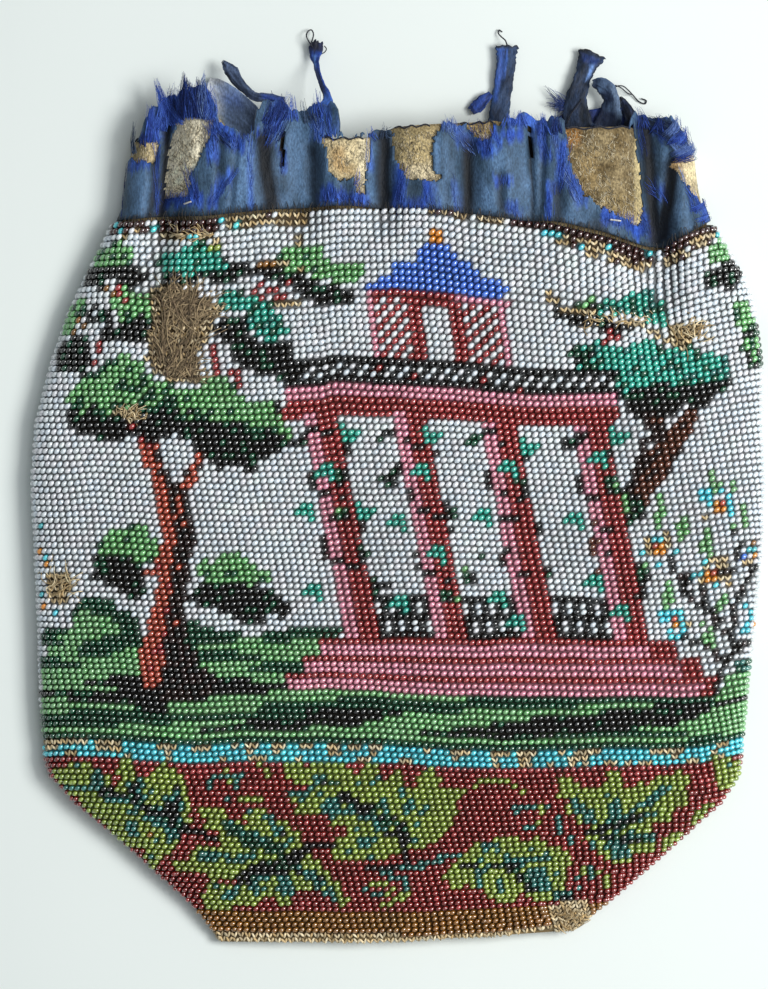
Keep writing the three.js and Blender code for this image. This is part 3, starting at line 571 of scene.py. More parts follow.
def shrub(ch):
    line, dot, box, poly = ch.line, ch.dot, ch.box, ch.poly
    # Bare stitches round the flowers, where beads are lost.
    for pts in ([(705, 511), (716, 513), (716, 522), (704, 520)], [(642, 529), (650, 530), (650, 552), (643, 550)], [(665, 530), (677, 534), (676, 546), (667, 546)],
                [(700, 561), (712, 556), (728, 555), (729, 566), (732, 586), (721, 586), (719, 566), (701, 567)], [(697, 575), (706, 575), (705, 581), (698, 580)],
                [(653, 606), (664, 606), (664, 610), (653, 611)], [(660, 624), (668, 623), (668, 630), (661, 630)], [(690, 619), (697, 619), (696, 626), (690, 626)],
                [(744, 558), (757, 558), (756, 567), (745, 567)], [(746, 610), (750, 610), (750, 616), (746, 616)]):
        poly([(X, 8), (W, 2)], pts)
    # Branches.
    for pts in ([(671, 556), (673, 571)], [(683, 577), (691, 577)], [(684, 580), (684, 590), (693, 596)], [(704, 582), (706, 596), (702, 602)], [(707, 600), (709, 608), (716, 609)],
                [(716, 612), (717, 625)], [(719, 619), (727, 621)], [(735, 606), (736, 632), (734, 645), (737, 651), (729, 659)], [(725, 631), (735, 631)], [(734, 651), (741, 650)],
                [(744, 644), (751, 645), (754, 639)], [(705, 645), (713, 646), (716, 654), (723, 659), (732, 660)], [(720, 654), (723, 662)], [(683, 632), (686, 634)],
                [(690, 638), (698, 638)], [(730, 516), (731, 525)], [(738, 530), (742, 546), (741, 552), (737, 558), (738, 565), (732, 570), (724, 571)],
                [(758, 567), (751, 579), (744, 593), (735, 606)], [(728, 660), (722, 672), (718, 690)]):
        line(BRANCH, pts, 3.1)
    # Leaves, mostly two beads wide.
    pale = [(LG, 8), (W, 1), (G, 1)]
    full = [(G, 6), (LG, 4)]
    for ink, pts, half in ((pale, [(712, 472), (716, 488)], 3.6), (pale, [(722, 484), (723, 488)], 3), (pale, [(735, 483), (735, 492)], 3), (full, [(659, 498), (660, 505)], 3),
                           (full, [(659, 511), (659, 519), (658, 525)], 4.4), (full, [(684, 518), (683, 526), (685, 532), (683, 538)], 4.6), (pale, [(703, 525), (707, 532)], 4),
                           (pale, [(707, 532), (708, 546), (712, 552)], 4.6), (pale, [(747, 510), (747, 525)], 4.6), (full, [(670, 583), (668, 590), (668, 597), (667, 604)], 4.6),
                           (pale, [(728, 595), (724, 602), (722, 608)], 4), (pale, [(704, 620), (708, 628), (710, 634), (712, 642)], 4.6), (pale, [(733, 528), (734, 530)], 3)):
        line(ink, pts, half)
    # Four flowers and two at the right fold: turquoise petals round an orange and red eye.
    petals = ([(701, 492), (709, 493)], [(721, 492), (726, 492)], [(703, 499), (711, 499)], [(727, 497), (728, 500)], [(710, 505), (712, 506)], [(730, 504), (732, 511)],
              [(651, 538), (662, 538)], [(675, 549), (677, 550)], [(658, 562), (660, 562)], [(642, 551), (643, 552)], [(708, 559), (710, 559)], [(696, 572), (704, 572)], [(717, 583), (718, 584)],
              [(656, 615), (671, 614)], [(675, 609), (676, 610)], [(664, 620), (665, 621)], [(683, 613), (685, 626)], [(672, 632), (674, 638)], [(678, 638), (681, 638)],
              [(754, 549), (755, 551)], [(749, 607), (751, 609)], [(754, 613), (756, 615)], [(751, 627), (752, 628)], [(748, 632), (749, 634)])
    for pts in petals:
        line(T, pts, 3.2)
    for u, v, red in ((721, 507, (723, 504)), (658, 547, (654, 544)), (713, 573, (716, 570)), (675, 623, (672, 620))):
        box(OR, u - 5.5, v - 6, u + 5.5, v + 6)
        dot(BR, red)
    dot(OR, (759, 556), (757, 621))
    dot(CB, (748, 557))
    dot(GD, (756, 543))
    # Remains of a flower at the left fold.
    poly(X, [(43, 575), (60, 570), (72, 582), (66, 604), (46, 600)])
    dot(T, (38, 528), (42, 556), (52, 612), (40, 590))
    dot(OR, (36, 548), (42, 605), (44, 566))


def border(ch):
    poly, line, dot, rows = ch.poly, ch.line, ch.dot, ch.rows
    top, end = 61, 88
    rows([(MR, 9), (DR, 1)], top, end - 1, 0, 800)
    rows([(DR, 6), (MR, 4)], top, top + 1, 80, 680)
    # Five vine leaves, each an outline with teal shading and black veins.
    leaf_a = [(50, 769), (62, 769), (70, 764), (86, 764), (96, 768), (103, 772), (108, 780), (114, 786), (119, 778), (117, 769), (121, 760), (129, 758), (134, 766), (136, 776),
              (143, 779), (150, 772), (161, 765), (166, 759), (170, 766), (178, 774), (188, 783), (190, 800), (190, 822), (182, 832), (176, 843), (170, 852), (162, 862), (157, 872),
              (150, 874), (141, 862), (141, 852), (134, 852), (125, 850), (100, 828), (75, 803), (56, 786)]
    leaf_b = [(198, 810), (222, 810), (228, 816), (238, 820), (246, 828), (252, 824), (250, 818), (240, 816), (242, 811), (266, 811), (276, 816), (288, 820), (290, 830), (304, 833),
              (298, 840), (306, 846), (314, 858), (322, 866), (330, 876), (340, 884), (346, 897), (350, 906), (338, 907), (328, 900), (318, 894), (308, 896), (300, 893), (296, 888),
              (294, 898), (289, 908), (279, 909), (276, 898), (262, 898), (254, 906), (240, 906), (227, 912), (202, 911), (201, 900), (205, 894), (210, 886), (212, 880), (210, 874),
              (179, 874), (168, 866), (186, 862), (196, 854), (200, 848), (224, 846), (218, 838), (220, 832), (206, 828), (205, 824), (214, 820), (200, 818)]
    leaf_c = [(283, 765), (302, 765), (306, 770), (311, 765), (345, 765), (355, 772), (360, 778), (363, 772), (369, 765), (380, 765), (381, 776), (388, 782), (395, 772), (401, 772),
              (404, 786), (410, 792), (416, 786), (416, 778), (422, 772), (426, 766), (431, 768), (433, 776), (441, 778), (441, 788), (462, 789), (471, 793), (462, 798), (452, 799),
              (459, 806), (459, 812), (452, 818), (453, 828), (444, 836), (435, 843), (420, 848), (404, 848), (397, 854), (386, 860), (338, 860), (329, 853), (334, 845), (334, 837),
              (347, 838), (345, 828), (328, 822), (328, 816), (318, 817), (302, 817), (294, 810), (305, 804), (290, 798), (290, 793), (312, 793), (320, 789), (296, 788), (293, 780),
              (285, 776)]
    leaf_d = [(496, 836), (516, 836), (524, 843), (534, 840), (551, 840), (548, 848), (556, 850), (571, 850), (572, 858), (575, 865), (562, 872), (570, 876), (564, 884), (566, 890),
              (572, 894), (576, 904), (552, 906), (536, 906), (531, 898), (518, 896), (513, 906), (502, 904), (496, 905), (486, 902), (482, 894), (472, 890), (466, 884), (460, 896),
              (453, 892), (446, 884), (440, 879), (446, 874), (450, 866), (460, 862), (464, 858), (466, 852), (474, 845), (480, 841), (490, 842)]
    leaf_e = [(608, 774), (621, 774), (623, 786), (632, 786), (637, 780), (642, 780), (645, 788), (652, 782), (662, 775), (684, 770), (688, 776), (687, 788), (686, 806), (670, 810),
              (670, 822), (650, 824), (649, 832), (658, 834), (661, 848), (650, 854), (636, 854), (632, 864), (620, 864), (604, 860), (595, 854), (588, 850), (588, 834), (594, 828),
              (584, 826), (580, 812), (584, 806), (578, 802), (582, 796), (578, 792), (586, 788), (594, 790), (599, 785), (606, 784), (609, 786)]
    edge_leaf = [(708, 756), (732, 757), (744, 764), (744, 780), (734, 792), (722, 794), (718, 784), (716, 770)]
    for leaf in (leaf_a, leaf_b, leaf_c, leaf_d, leaf_e, edge_leaf):
        poly(OLIVE, leaf)
    shaded = (
        [(56, 784), (80, 788), (80, 794), (66, 794)], [(84, 773), (98, 772), (108, 784), (110, 796), (98, 796), (92, 786)], [(100, 798), (130, 799), (130, 804), (101, 804)],
        [(84, 808), (110, 808), (110, 813), (86, 813)], [(169, 780), (178, 784), (180, 800), (178, 815), (184, 828), (176, 845), (170, 846), (162, 836), (161, 812), (164, 796)],
        [(130, 804), (151, 806), (162, 818), (160, 824), (142, 820), (130, 812)], [(128, 822), (140, 822), (138, 836), (126, 836)],
        [(196, 860), (212, 854), (234, 855), (250, 857), (244, 864), (226, 865), (200, 864)], [(219, 886), (240, 884), (240, 898), (230, 904), (221, 902)],
        [(248, 884), (256, 876), (272, 876), (268, 890), (256, 896), (246, 890)], [(277, 880), (293, 876), (292, 894), (284, 902), (278, 896)], [(276, 824), (286, 828), (292, 840), (284, 842)],
        [(292, 866), (304, 868), (318, 878), (330, 890), (338, 900), (330, 902), (318, 892), (306, 880)],
        [(313, 772), (325, 774), (324, 786), (314, 786)], [(306, 788), (319, 789), (318, 794), (306, 794)], [(290, 793), (311, 793), (311, 799), (291, 799)],
        [(325, 798), (340, 800), (345, 806), (360, 805), (358, 816), (345, 817), (321, 816), (320, 808)], [(351, 816), (376, 816), (376, 823), (351, 823)],
        [(374, 792), (381, 794), (392, 806), (394, 814), (384, 814), (378, 804)], [(400, 788), (406, 790), (414, 806), (408, 820), (400, 818), (406, 806)], [(356, 837), (376, 836), (376, 849), (356, 848)],
        [(376, 820), (388, 822), (386, 836), (377, 834)], [(370, 776), (379, 776), (379, 787), (371, 787)],
        [(480, 846), (501, 846), (501, 856), (481, 857)], [(476, 861), (500, 864), (520, 858), (552, 856), (552, 862), (535, 864), (516, 870), (488, 872)], [(473, 872), (485, 872), (485, 892), (474, 892)],
        [(524, 868), (548, 870), (550, 896), (538, 898), (528, 886)], [(498, 878), (505, 878), (505, 896), (498, 896)], [(554, 894), (576, 894), (576, 906), (554, 906)],
        [(606, 806), (618, 806), (620, 822), (606, 823)], [(580, 812), (592, 814), (598, 826), (584, 827)], [(664, 784), (670, 788), (664, 798), (652, 806), (636, 812), (630, 808), (644, 802), (654, 794)],
        [(626, 810), (660, 811), (660, 816), (626, 818)], [(606, 828), (632, 828), (632, 834), (606, 834)], [(625, 834), (658, 834), (658, 843), (626, 845)], [(601, 840), (620, 840), (632, 852), (628, 860), (614, 856)],
        [(726, 762), (736, 764), (734, 770), (726, 769)])
    for area in shaded:
        poly([(TL, 8), (OL, 1)], area)
    poly([(DG, 7), (OL, 3)], [(224, 820), (240, 822), (252, 832), (262, 838), (272, 846), (272, 856), (252, 852), (240, 842), (226, 832)])
    for pts, h in (([(100, 794), (128, 797), (137, 804), (148, 811), (162, 815), (172, 820), (182, 830), (198, 834), (214, 839)], 3.4), ([(133, 784), (134, 800)], 2.8), ([(172, 798), (173, 818)], 5),
                   ([(238, 882), (256, 873), (276, 866), (296, 855), (308, 849)], 6.5), ([(308, 847), (334, 846)], 2.6), ([(326, 780), (338, 786)], 3.6), ([(344, 797), (357, 803)], 5),
                   ([(361, 812), (375, 809)], 5), ([(384, 822), (398, 824), (400, 836)], 6), ([(386, 836), (402, 836)], 4), ([(405, 834), (406, 868)], 3.2), ([(369, 869), (400, 869)], 2.6),
                   ([(463, 867), (477, 868)], 4), ([(498, 867), (518, 866)], 3), ([(514, 872), (522, 878), (528, 886), (533, 893)], 4.6), ([(590, 834), (602, 829), (614, 826), (628, 822), (638, 816)], 3.8),
                   ([(606, 837), (624, 838)], 3.2), ([(626, 842), (648, 840)], 2.8), ([(560, 904), (574, 902)], 2.8)):
        line(SHADE, pts, h)
    # Fuller shading of the two left leaves: teal beside the veins, then the black veins.
    mixed = [(TL, 8), (OL, 1), (K, 1)]
    for area in ([(61, 785), (99, 785), (100, 793), (66, 793)], [(92, 774), (106, 778), (107, 790), (97, 790)], [(101, 797), (124, 798), (126, 807), (103, 806)],
                 [(132, 777), (140, 780), (146, 800), (138, 800), (132, 790)], [(131, 807), (160, 812), (165, 830), (152, 826), (140, 818)],
                 [(166, 782), (176, 784), (183, 806), (182, 824), (177, 822), (177, 800), (166, 800)], [(164, 824), (178, 826), (176, 846), (168, 840)], [(126, 822), (136, 822), (136, 838), (127, 838)],
                 [(249, 878), (264, 876), (264, 892), (252, 894)], [(276, 875), (291, 875), (292, 896), (284, 898)], [(292, 864), (304, 867), (302, 875), (292, 874)],
                 [(304, 868), (316, 872), (332, 890), (328, 894), (312, 882)], [(217, 885), (234, 886), (232, 901), (220, 900)], [(194, 857), (212, 852), (252, 852), (252, 861), (210, 862)]):
        poly(mixed, area)
    poly([(DG, 6), (TL, 3), (OL, 1)], [(224, 819), (244, 826), (256, 833), (277, 840), (285, 850), (284, 859), (268, 853), (250, 843), (238, 834), (226, 828)])
    line(mixed, [(269, 815), (279, 830), (288, 845)], 3.4)
    for area in ([(99, 788), (108, 789), (125, 793), (124, 799), (100, 795)], [(128, 783), (136, 785), (138, 799), (148, 804), (147, 811), (134, 808), (127, 803)],
                 [(165, 800), (175, 800), (177, 824), (164, 824)],
                 [(294, 847), (312, 851), (301, 859), (291, 874), (277, 875), (267, 874), (259, 879), (244, 884), (236, 886), (224, 884), (241, 876), (252, 867), (261, 860), (281, 859)]):
        poly(SHADE, area)
    line(SHADE, [(149, 812), (164, 814)], 3.2)
    line(SHADE, [(177, 826), (187, 830), (199, 834)], 3.2)
    line([(GD, 5), (MR, 5)], [(220, 882), (234, 881)], 2.8)
    line([(GD, 5), (OL, 5)], [(146, 837), (156, 837)], 2.8)
    # Tendrils.
    for pts in ([(480, 779), (506, 779)], [(476, 784), (479, 789)], [(512, 787)], [(520, 792)], [(515, 798)], [(563, 783), (568, 782)], [(560, 788), (576, 788)], [(561, 794), (586, 794)],
                [(557, 799)], [(537, 805), (540, 811)], [(548, 817)], [(536, 824)], [(566, 805), (567, 811)], [(576, 816), (577, 823)], [(584, 872)], [(600, 872)], [(606, 879), (607, 886)],
                [(225, 768)], [(228, 780)], [(240, 797), (249, 797)], [(240, 802), (264, 802)], [(259, 767)], [(266, 772), (269, 779)], [(408, 893), (402, 899), (394, 905), (385, 906)],
                [(368, 886), (386, 886)], [(392, 889)], [(381, 897), (391, 897)], [(711, 806), (696, 820)], [(680, 836), (668, 846)]):
        line(OL, pts if len(pts) > 1 else [pts[0], (pts[0][0] + 0.5, pts[0][1])], 5 if pts[0] in ((711, 806), (680, 836)) else 3)
    for pts in ([(515, 809), (536, 809)], [(547, 809)], [(519, 815)], [(514, 821)], [(522, 828), (534, 828)], [(557, 816), (561, 846)], [(571, 804), (578, 804)], [(572, 810), (584, 810)],
                [(570, 835), (573, 842)], [(591, 868), (594, 878)], [(581, 876), (582, 884)], [(581, 891)], [(210, 774), (235, 774)], [(209, 779), (209, 786)], [(240, 778), (236, 790)],
                [(225, 799)], [(378, 873), (384, 876), (392, 878), (399, 878)], [(404, 882), (408, 890)], [(366, 889), (366, 893)], [(374, 894), (384, 894)],
                [(403, 870), (420, 870)], [(420, 863), (440, 863)], [(440, 858), (460, 858)]):
        line(TL, pts if len(pts) > 1 else [pts[0], (pts[0][0] + 0.5, pts[0][1])], 3)
    # Gold rows and the bare edge at the base.
    rows(GD, end, 200, 0, 800)
    edge = np.interp(ch.u, [210, 400, 500, 560, 600], [936, 938, 934, 926, 915])
    ch.put((ch.r >= end) & (ch.v > edge), X)
    poly(X, [(548, 908), (592, 900), (592, 935), (552, 935)])


def rim(ch):
    line, dot = ch.line, ch.dot
    for pts in ([(258, 262), (280, 264), (298, 268)], [(276, 303), (292, 305), (306, 307)], [(214, 236), (221, 248)], [(296, 234), (299, 244)]):
        line([(X, 6), (GD, 4)], pts, 2.6)
    x = (ch.u - 398) * MM
    depth = ((492 - rim_at(x) / MM) - ch.v) * -1  # plan units below the rim
    band = lambda a, b, u0, u1: (depth >= a) & (depth < b) & (ch.u >= u0) & (ch.u <= u1)
    for u0, u1 in ((108, 148), (156, 271), (510, 652), (660, 719)):
        ch.put(band(-2, 11, u0, u1), RB)
    for a, b, u0, u1 in ((10, 22, 122, 140), (11, 22, 159, 213), (4, 13, 217, 307), (-2, 8, 425, 512), (11, 24, 556, 651), (11, 23, 660, 718)):
        ch.put(band(a, b, u0, u1), [(X, 8), (W, 1), (RB, 1)])
    dot(T, (115, 228), (120, 235), (157, 231), (190, 235), (197, 235), (221, 223), (236, 223), (542, 236), (550, 231), (555, 235), (580, 245), (609, 250), (651, 252), (718, 232))


# ------------------------------------------------------------------ small helpers
def srgb(*c):
    """Linear colour from display values, 0 to 255."""
    c = np.asarray(c, float) / 255
    return np.where(c <= 0.04045, c / 12.92, ((c + 0.055) / 1.055) ** 2.4)


def noise_2d(x, y, cell, seed):
    """Smooth repeatable noise from -1 to 1."""
    gx, gy = np.asarray(x) / cell, np.asarray(y) / cell
    ix, iy = np.floor(gx), np.floor(gy)
    fx, fy = smooth(gx - ix), smooth(gy - iy)
    v = lambda a, b: chance(a.astype(np.int64) + 4096, b.astype(np.int64) + 4096, seed) * 2 - 1
    top = v(ix, iy) * (1 - fx) + v(ix + 1, iy) * fx
    low = v(ix, iy + 1) * (1 - fx) + v(ix + 1, iy + 1) * fx
    return top * (1 - fy) + low * fy


def mesh_piece(name, points, faces, material, tint=None, uv=None, shaded=True):
    """A piece of the object from points in mm (table heights) and faces of equal length."""
    points = np.asarray(points, float).reshape(-1, 3).copy()
    points[:, 1] -= MIDDLE_Y
    faces = np.asarray(faces, np.int32)
    me = bpy.data.meshes.new(name)
    me.vertices.add(len(points))
    me.vertices.foreach_set("co", (points * 0.001).astype(np.float32).ravel())
    me.loops.add(faces.size)
    me.loops.foreach_set("vertex_index", faces.ravel())
    me.polygons.add(len(faces))
    me.polygons.foreach_set("loop_start", np.arange(0, faces.size, faces.shape[1], dtype=np.int32))
    if shaded:
        me.polygons.foreach_set("use_smooth", np.ones(len(faces), bool))
    if tint is not None:
        a = me.attributes.new("tint", "FLOAT_COLOR", "POINT")
        rgba = np.ones((len(points), 4), np.float32)
        rgba[:, :tint.shape[1]] = tint
        a.data.foreach_set("color", rgba.ravel())
    if uv is not None:
        layer = me.uv_layers.new(name="OFBake")
        layer.data.foreach_set("uv", uv.astype(np.float32).ravel())
    me.update(calc_edges=True)
    me.validate()
    ob = bpy.data.objects.new(name, me)
    bpy.context.scene.collection.objects.link(ob)
    me.materials.append(material)
    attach(ob, "root")
    return ob


def new_material(name, **values):
    m = bpy.data.materials.new(name)
    m.use_nodes = True
    nt = m.node_tree
    b = nt.nodes["Principled BSDF"]
    for k, v in values.items():
        b.inputs[k.replace("_", " ")].default_value = v
    return m, nt, b


def node(nt, kind, **values):
    n = nt.nodes.new(kind)
    for k, v in values.items():
        setattr(n, k, v)
    return n


# ---------------------------------------------------------------------- beads
def octa_bead():
    """A sphere of 32 triangles, with a map of its own for each corner."""
    corner = np.array([(1, 0, 0), (0, 1, 0), (-1, 0, 0), (0, -1, 0), (0, 0, 1), (0, 0, -1)], float)
    verts, faces, uvs, index = [], [], [], {}

    def vert(p):
        key = tuple(np.round(p, 5))
        if key not in index:
            index[key] = len(verts)
            verts.append(p)
        return index[key]
    for top in (4, 5):
        for k in range(4):
            a, b, c = corner[k], corner[(k + 1) % 4], corner[top]
            sx, sy = np.sign((a + b)[0]), np.sign((a + b)[1])
            flat = [a, b, c, (a + b) / 2, (b + c) / 2, (c + a) / 2]

            def place(p):
                x, y = p[0], p[1]
                if top == 5:
                    x, y = (1 - abs(p[1])) * sx, (1 - abs(p[0])) * sy
                return (x * .5 + .5, y * .5 + .5)
            tris = [(0, 3, 5), (3, 1, 4), (5, 4, 2), (3, 4, 5)]
            for t in tris:
                t = t if top == 4 else t[::-1]
                faces.append([vert(flat[i] / np.linalg.norm(flat[i])) for i in t])
                uvs.append([place(flat[i]) for i in t])
    return np.array(verts), np.array(faces), np.array(uvs)


def ring_bead():
    """A sphere of 20 triangles, for the face that the bag lies on."""
    verts, faces, uvs = [(0, 0, 1), (0, 0, -1)], [], []
    for k in range(5):
        a = math.pi / 2.5 * k
        verts.append((math.cos(a) * .9, math.sin(a) * .9, .45))
    for k in range(5):
        a = math.pi / 2.5 * (k + .5)
        verts.append((math.cos(a) * .9, math.sin(a) * .9, -.45))
    for k in range(5):
        j = (k + 1) % 5
        faces += [(2 + k, 2 + j, 0), (2 + k, 7 + k, 2 + j), (2 + j, 7 + k, 7 + j), (7 + j, 7 + k, 1)]
        u = k / 6
        w = 1 / 6
        uvs += [((u, .66), (u + w, .66), (u + w / 2, 1)), ((u, .66), (u + w / 2, .34), (u + w, .66)),
                ((u + w, .66), (u + w / 2, .34), (u + 1.5 * w, .34)), ((u + 1.5 * w, .34), (u + w / 2, .34), (u + w, 0))]
    return np.array(verts, float), np.array(faces), np.array(uvs, float)


def frames_of(points, normals):
    """Directions along the rows and up the columns, square to each normal."""
    up = np.zeros_like(normals)
    up[:, 1] = 1
    row = np.cross(up, normals)
    row /= np.maximum(np.linalg.norm(row, axis=1, keepdims=True), 1e-9)
    return row, np.cross(normals, row)


def scatter(template, centre, axes, sizes):
    """Copies of a template sphere: centre (n,3), axes three (n,3), sizes (n,3)."""
    verts, faces, uvs = template
    n, m = len(centre), len(verts)
    p = centre[:, None, :] + sum(axes[k][:, None, :] * (sizes[:, k, None] * verts[None, :, k])[..., None] for k in range(3))
    f = faces[None] + (np.arange(n) * m)[:, None, None]
    side = max(1, math.ceil(math.sqrt(n)))
    cell = np.stack([np.arange(n) % side, np.arange(n) // side], -1) / side
    uv = cell[:, None, None, :] + (uvs[None] * .84 + .08) / side
    return p.reshape(-1, 3), f.reshape(-1, 3), uv.reshape(-1, 2)


# Colour, roughness, and how much single beads differ.
GLASS = {
    "white": ((233, 241, 245), .2, .07), "black": ((13, 14, 13), .2, .3), "green": ((120, 190, 118), .24, .2), "light_green": ((130, 190, 128), .24, .1),
    "dark_green": ((18, 82, 54), .16, .34), "sea_green": ((58, 184, 162), .2, .12), "turquoise": ((90, 220, 236), .2, .26), "cobalt": ((86, 138, 246), .2, .16),
    "orange": ((236, 150, 38), .2, .12), "brick": ((196, 86, 62), .2, .2), "dark_brown": ((44, 21, 17), .16, .25), "rust": ((104, 54, 30), .2, .15),
    "pink": ((232, 154, 174), .2, .1), "dark_red": ((168, 56, 56), .18, .18), "maroon": ((140, 34, 29), .17, .22), "olive": ((150, 173, 70), .2, .24),
    "teal": ((50, 124, 116), .16, .34), "gold": ((148, 98, 28), .17, .24), "rim_brown": ((62, 23, 17), .17, .2),
}


def bead_tints(name, r, c, salt):
    colour, _, spread = GLASS[name]
    base = srgb(*colour)[None, :] * np.ones((len(r), 1))
    a, b, d = (chance(r, c, salt + k) for k in range(3))
    base = base * (1 + spread * 2 * (a - .5))[:, None]
    if name == "white":  # opal glass from many strings: pink, blue and plain
        base = base * np.where(b[:, None] < .3, (1.02, .97, .985), np.where(b[:, None] < .62, (.96, .99, 1.04), (1.0, 1.0, 1.0)))
        base = base * np.where(d[:, None] < .08, .86, 1.0)
    else:
        base = base * (1 + .08 * (np.stack([b, d, a], -1) - .5))
    return np.clip(base, 0, 1)


def glass_material(name):
    m, nt, b = new_material("glass_" + name, Roughness=GLASS[name][1], IOR=1.6)
    b.inputs["Coat Weight"].default_value = 1.0
    b.inputs["Coat Roughness"].default_value = .2
    b.inputs["Coat IOR"].default_value = 2.15
    a = node(nt, "ShaderNodeAttribute", attribute_name="tint")
    # Swirls in the drawn glass, and a worn, uneven polish.
    co = node(nt, "ShaderNodeTexCoord")
    no = node(nt, "ShaderNodeTexNoise")
    no.inputs["Scale"].default_value = 1500
    no.inputs["Detail"].default_value = 3
    ramp = node(nt, "ShaderNodeValToRGB")
    ramp.color_ramp.elements[0].position, ramp.color_ramp.elements[1].position = .3, .7
    ramp.color_ramp.elements[0].color = (.84, .84, .84, 1)
    ramp.color_ramp.elements[1].color = (1.1, 1.1, 1.1, 1)
    mix = node(nt, "ShaderNodeMix", data_type="RGBA", blend_type="MULTIPLY")
    mix.inputs["Factor"].default_value = 1.0
    rough = node(nt, "ShaderNodeMapRange")
    rough.inputs["From Min"].default_value, rough.inputs["From Max"].default_value = .3, .7
    rough.inputs["To Min"].default_value, rough.inputs["To Max"].default_value = GLASS[name][1] - .06, GLASS[name][1] + .14
    nt.links.new(co.outputs["Object"], no.inputs["Vector"])
    nt.links.new(no.outputs["Fac"], ramp.inputs["Fac"])
    nt.links.new(a.outputs["Color"], mix.inputs["A"])
    nt.links.new(ramp.outputs["Color"], mix.inputs["B"])
    nt.links.new(mix.outputs["Result"], b.inputs["Base Color"])
    nt.links.new(no.outputs["Fac"], rough.inputs["Value"])
    nt.links.new(rough.outputs["Result"], b.inputs["Roughness"])
    return m


def place_beads():
    cells = lattice()
    ch = Chart(cells)
    picture(ch)
    r, c, s, y, is_front = cells["r"], cells["c"], cells["s"], cells["y"], cells["front"]
    p, n = outer(is_front, s, y)
    # The back carries the same picture, read from behind.
    bs, by = share_of(-across(s, y), y), y
    inside = np.abs(across(bs, by) + across(s, y)) < 0.05
    bs, by, bi, br, bc = bs[inside], by[inside], ch.ink[inside], r[inside], c[inside]
    low = by > base_at(across(bs, by)) + .4
    bs, by, bi, br, bc = bs[low], by[low], bi[low], br[low], bc[low]
    bs = bs * (1 - .006)
    bp, bn = outer(np.zeros(len(bs), bool), bs, by)
    half = .62
    front_centres = p - n * half
    back_centres = bp - bn * half
    grid = {}
    for i, q in zip(np.nonzero(np.abs(s) > .9)[0], np.floor(front_centres[np.abs(s) > .9] / 1.6).astype(int).tolist()):
        grid.setdefault(tuple(q), []).append(i)
    keep = np.ones(len(bs), bool)
    for k in np.nonzero(np.abs(bs) > .9)[0]:
        q = np.floor(back_centres[k] / 1.6).astype(int)
        for dx in (-1, 0, 1):
            for dy in (-1, 0, 1):
                for dz in (-1, 0, 1):
                    for i in grid.get((q[0] + dx, q[1] + dy, q[2] + dz), ()):
                        if np.sum((front_centres[i] - back_centres[k]) ** 2) < 1.15 ** 2:
                            keep[k] = False
    sides_of = [
        ("front", front_centres, n, ch.ink, r, c, ch.v, octa_bead()),
        ("back", back_centres[keep], bn[keep], bi[keep], br[keep], bc[keep], (492 - by[keep] / MM), ring_bead()),
    ]
    places, colours, bare = [], [], []
    for side, centre, normal, ink, rr, cc, v, template in sides_of:
        row, col = frames_of(centre, normal)
        pitch = np.interp(v, ROW_PITCH[:, 0], ROW_PITCH[:, 1]) * MM
        loose = np.clip((pitch - 1.39) / .16, 0, 1.1)
        turn = np.radians(30 + 13 * loose + 16 * (chance(rr, cc, 71) - .5))
        a = row * np.cos(turn)[:, None] + col * np.sin(turn)[:, None]
        b = -row * np.sin(turn)[:, None] + col * np.cos(turn)[:, None]
        size = np.stack([.82 + .13 * loose, .585 + .06 * loose, np.full(len(v), half)], -1)
        size *= (1 + .07 * (chance(rr, cc, 72) - .5))[:, None]
        centre = centre + row * (.09 * (chance(rr, cc, 73) - .5))[:, None] + col * (.09 * (chance(rr, cc, 74) - .5))[:, None] - normal * (.10 * chance(rr, cc, 75))[:, None]
        # The rows wander a little, as slack knitting does.
        x, y = centre[:, 0], centre[:, 1]
        up = .5 * noise_2d(x, y * .6, 17.0, 811) + .2 * noise_2d(x, y * .6, 6.0, 812)
        along = .35 * noise_2d(x * .6, y, 15.0, 813) + .14 * noise_2d(x, y, 5.0, 814)
        centre = centre + col * up[:, None] + row * along[:, None]
        # Slow random brightness over the beads: partly dirt, partly painted shade and light standing for the fabric's
        # gentle undulations.
        dirt_and_fold_shade = 1 + .10 * noise_2d(x, y, 13.0, 815) + .07 * noise_2d(x, y, 3.6, 816)
        if side == "back":
            centre[:, 2] = np.maximum(centre[:, 2], half * 1.04)
        for k, name in enumerate(NAMES):
            m = ink == k
            if not m.any():
                continue
            places.append(centre[m])
            if name == "bare":
                bare.append((side, centre[m], normal[m], row[m], col[m], rr[m], cc[m]))
                colours.append(np.repeat(srgb(150, 126, 90)[None], m.sum(), 0))
                continue
            pts, faces, uv = scatter(template, centre[m], (a[m], b[m], normal[m]), size[m])
            colours.append(np.clip(bead_tints(name, rr[m], cc[m], 90) * dirt_and_fold_shade[m][:, None], 0, 1))
            tint = np.repeat(colours[-1], len(template[0]), 0)
            mat = bpy.data.materials.get("glass_" + name) or glass_material(name)
            ob = mesh_piece(f"beads_{name}_{side}", pts, faces, mat, tint, uv)
    return bare, np.concatenate(places), np.concatenate(colours)


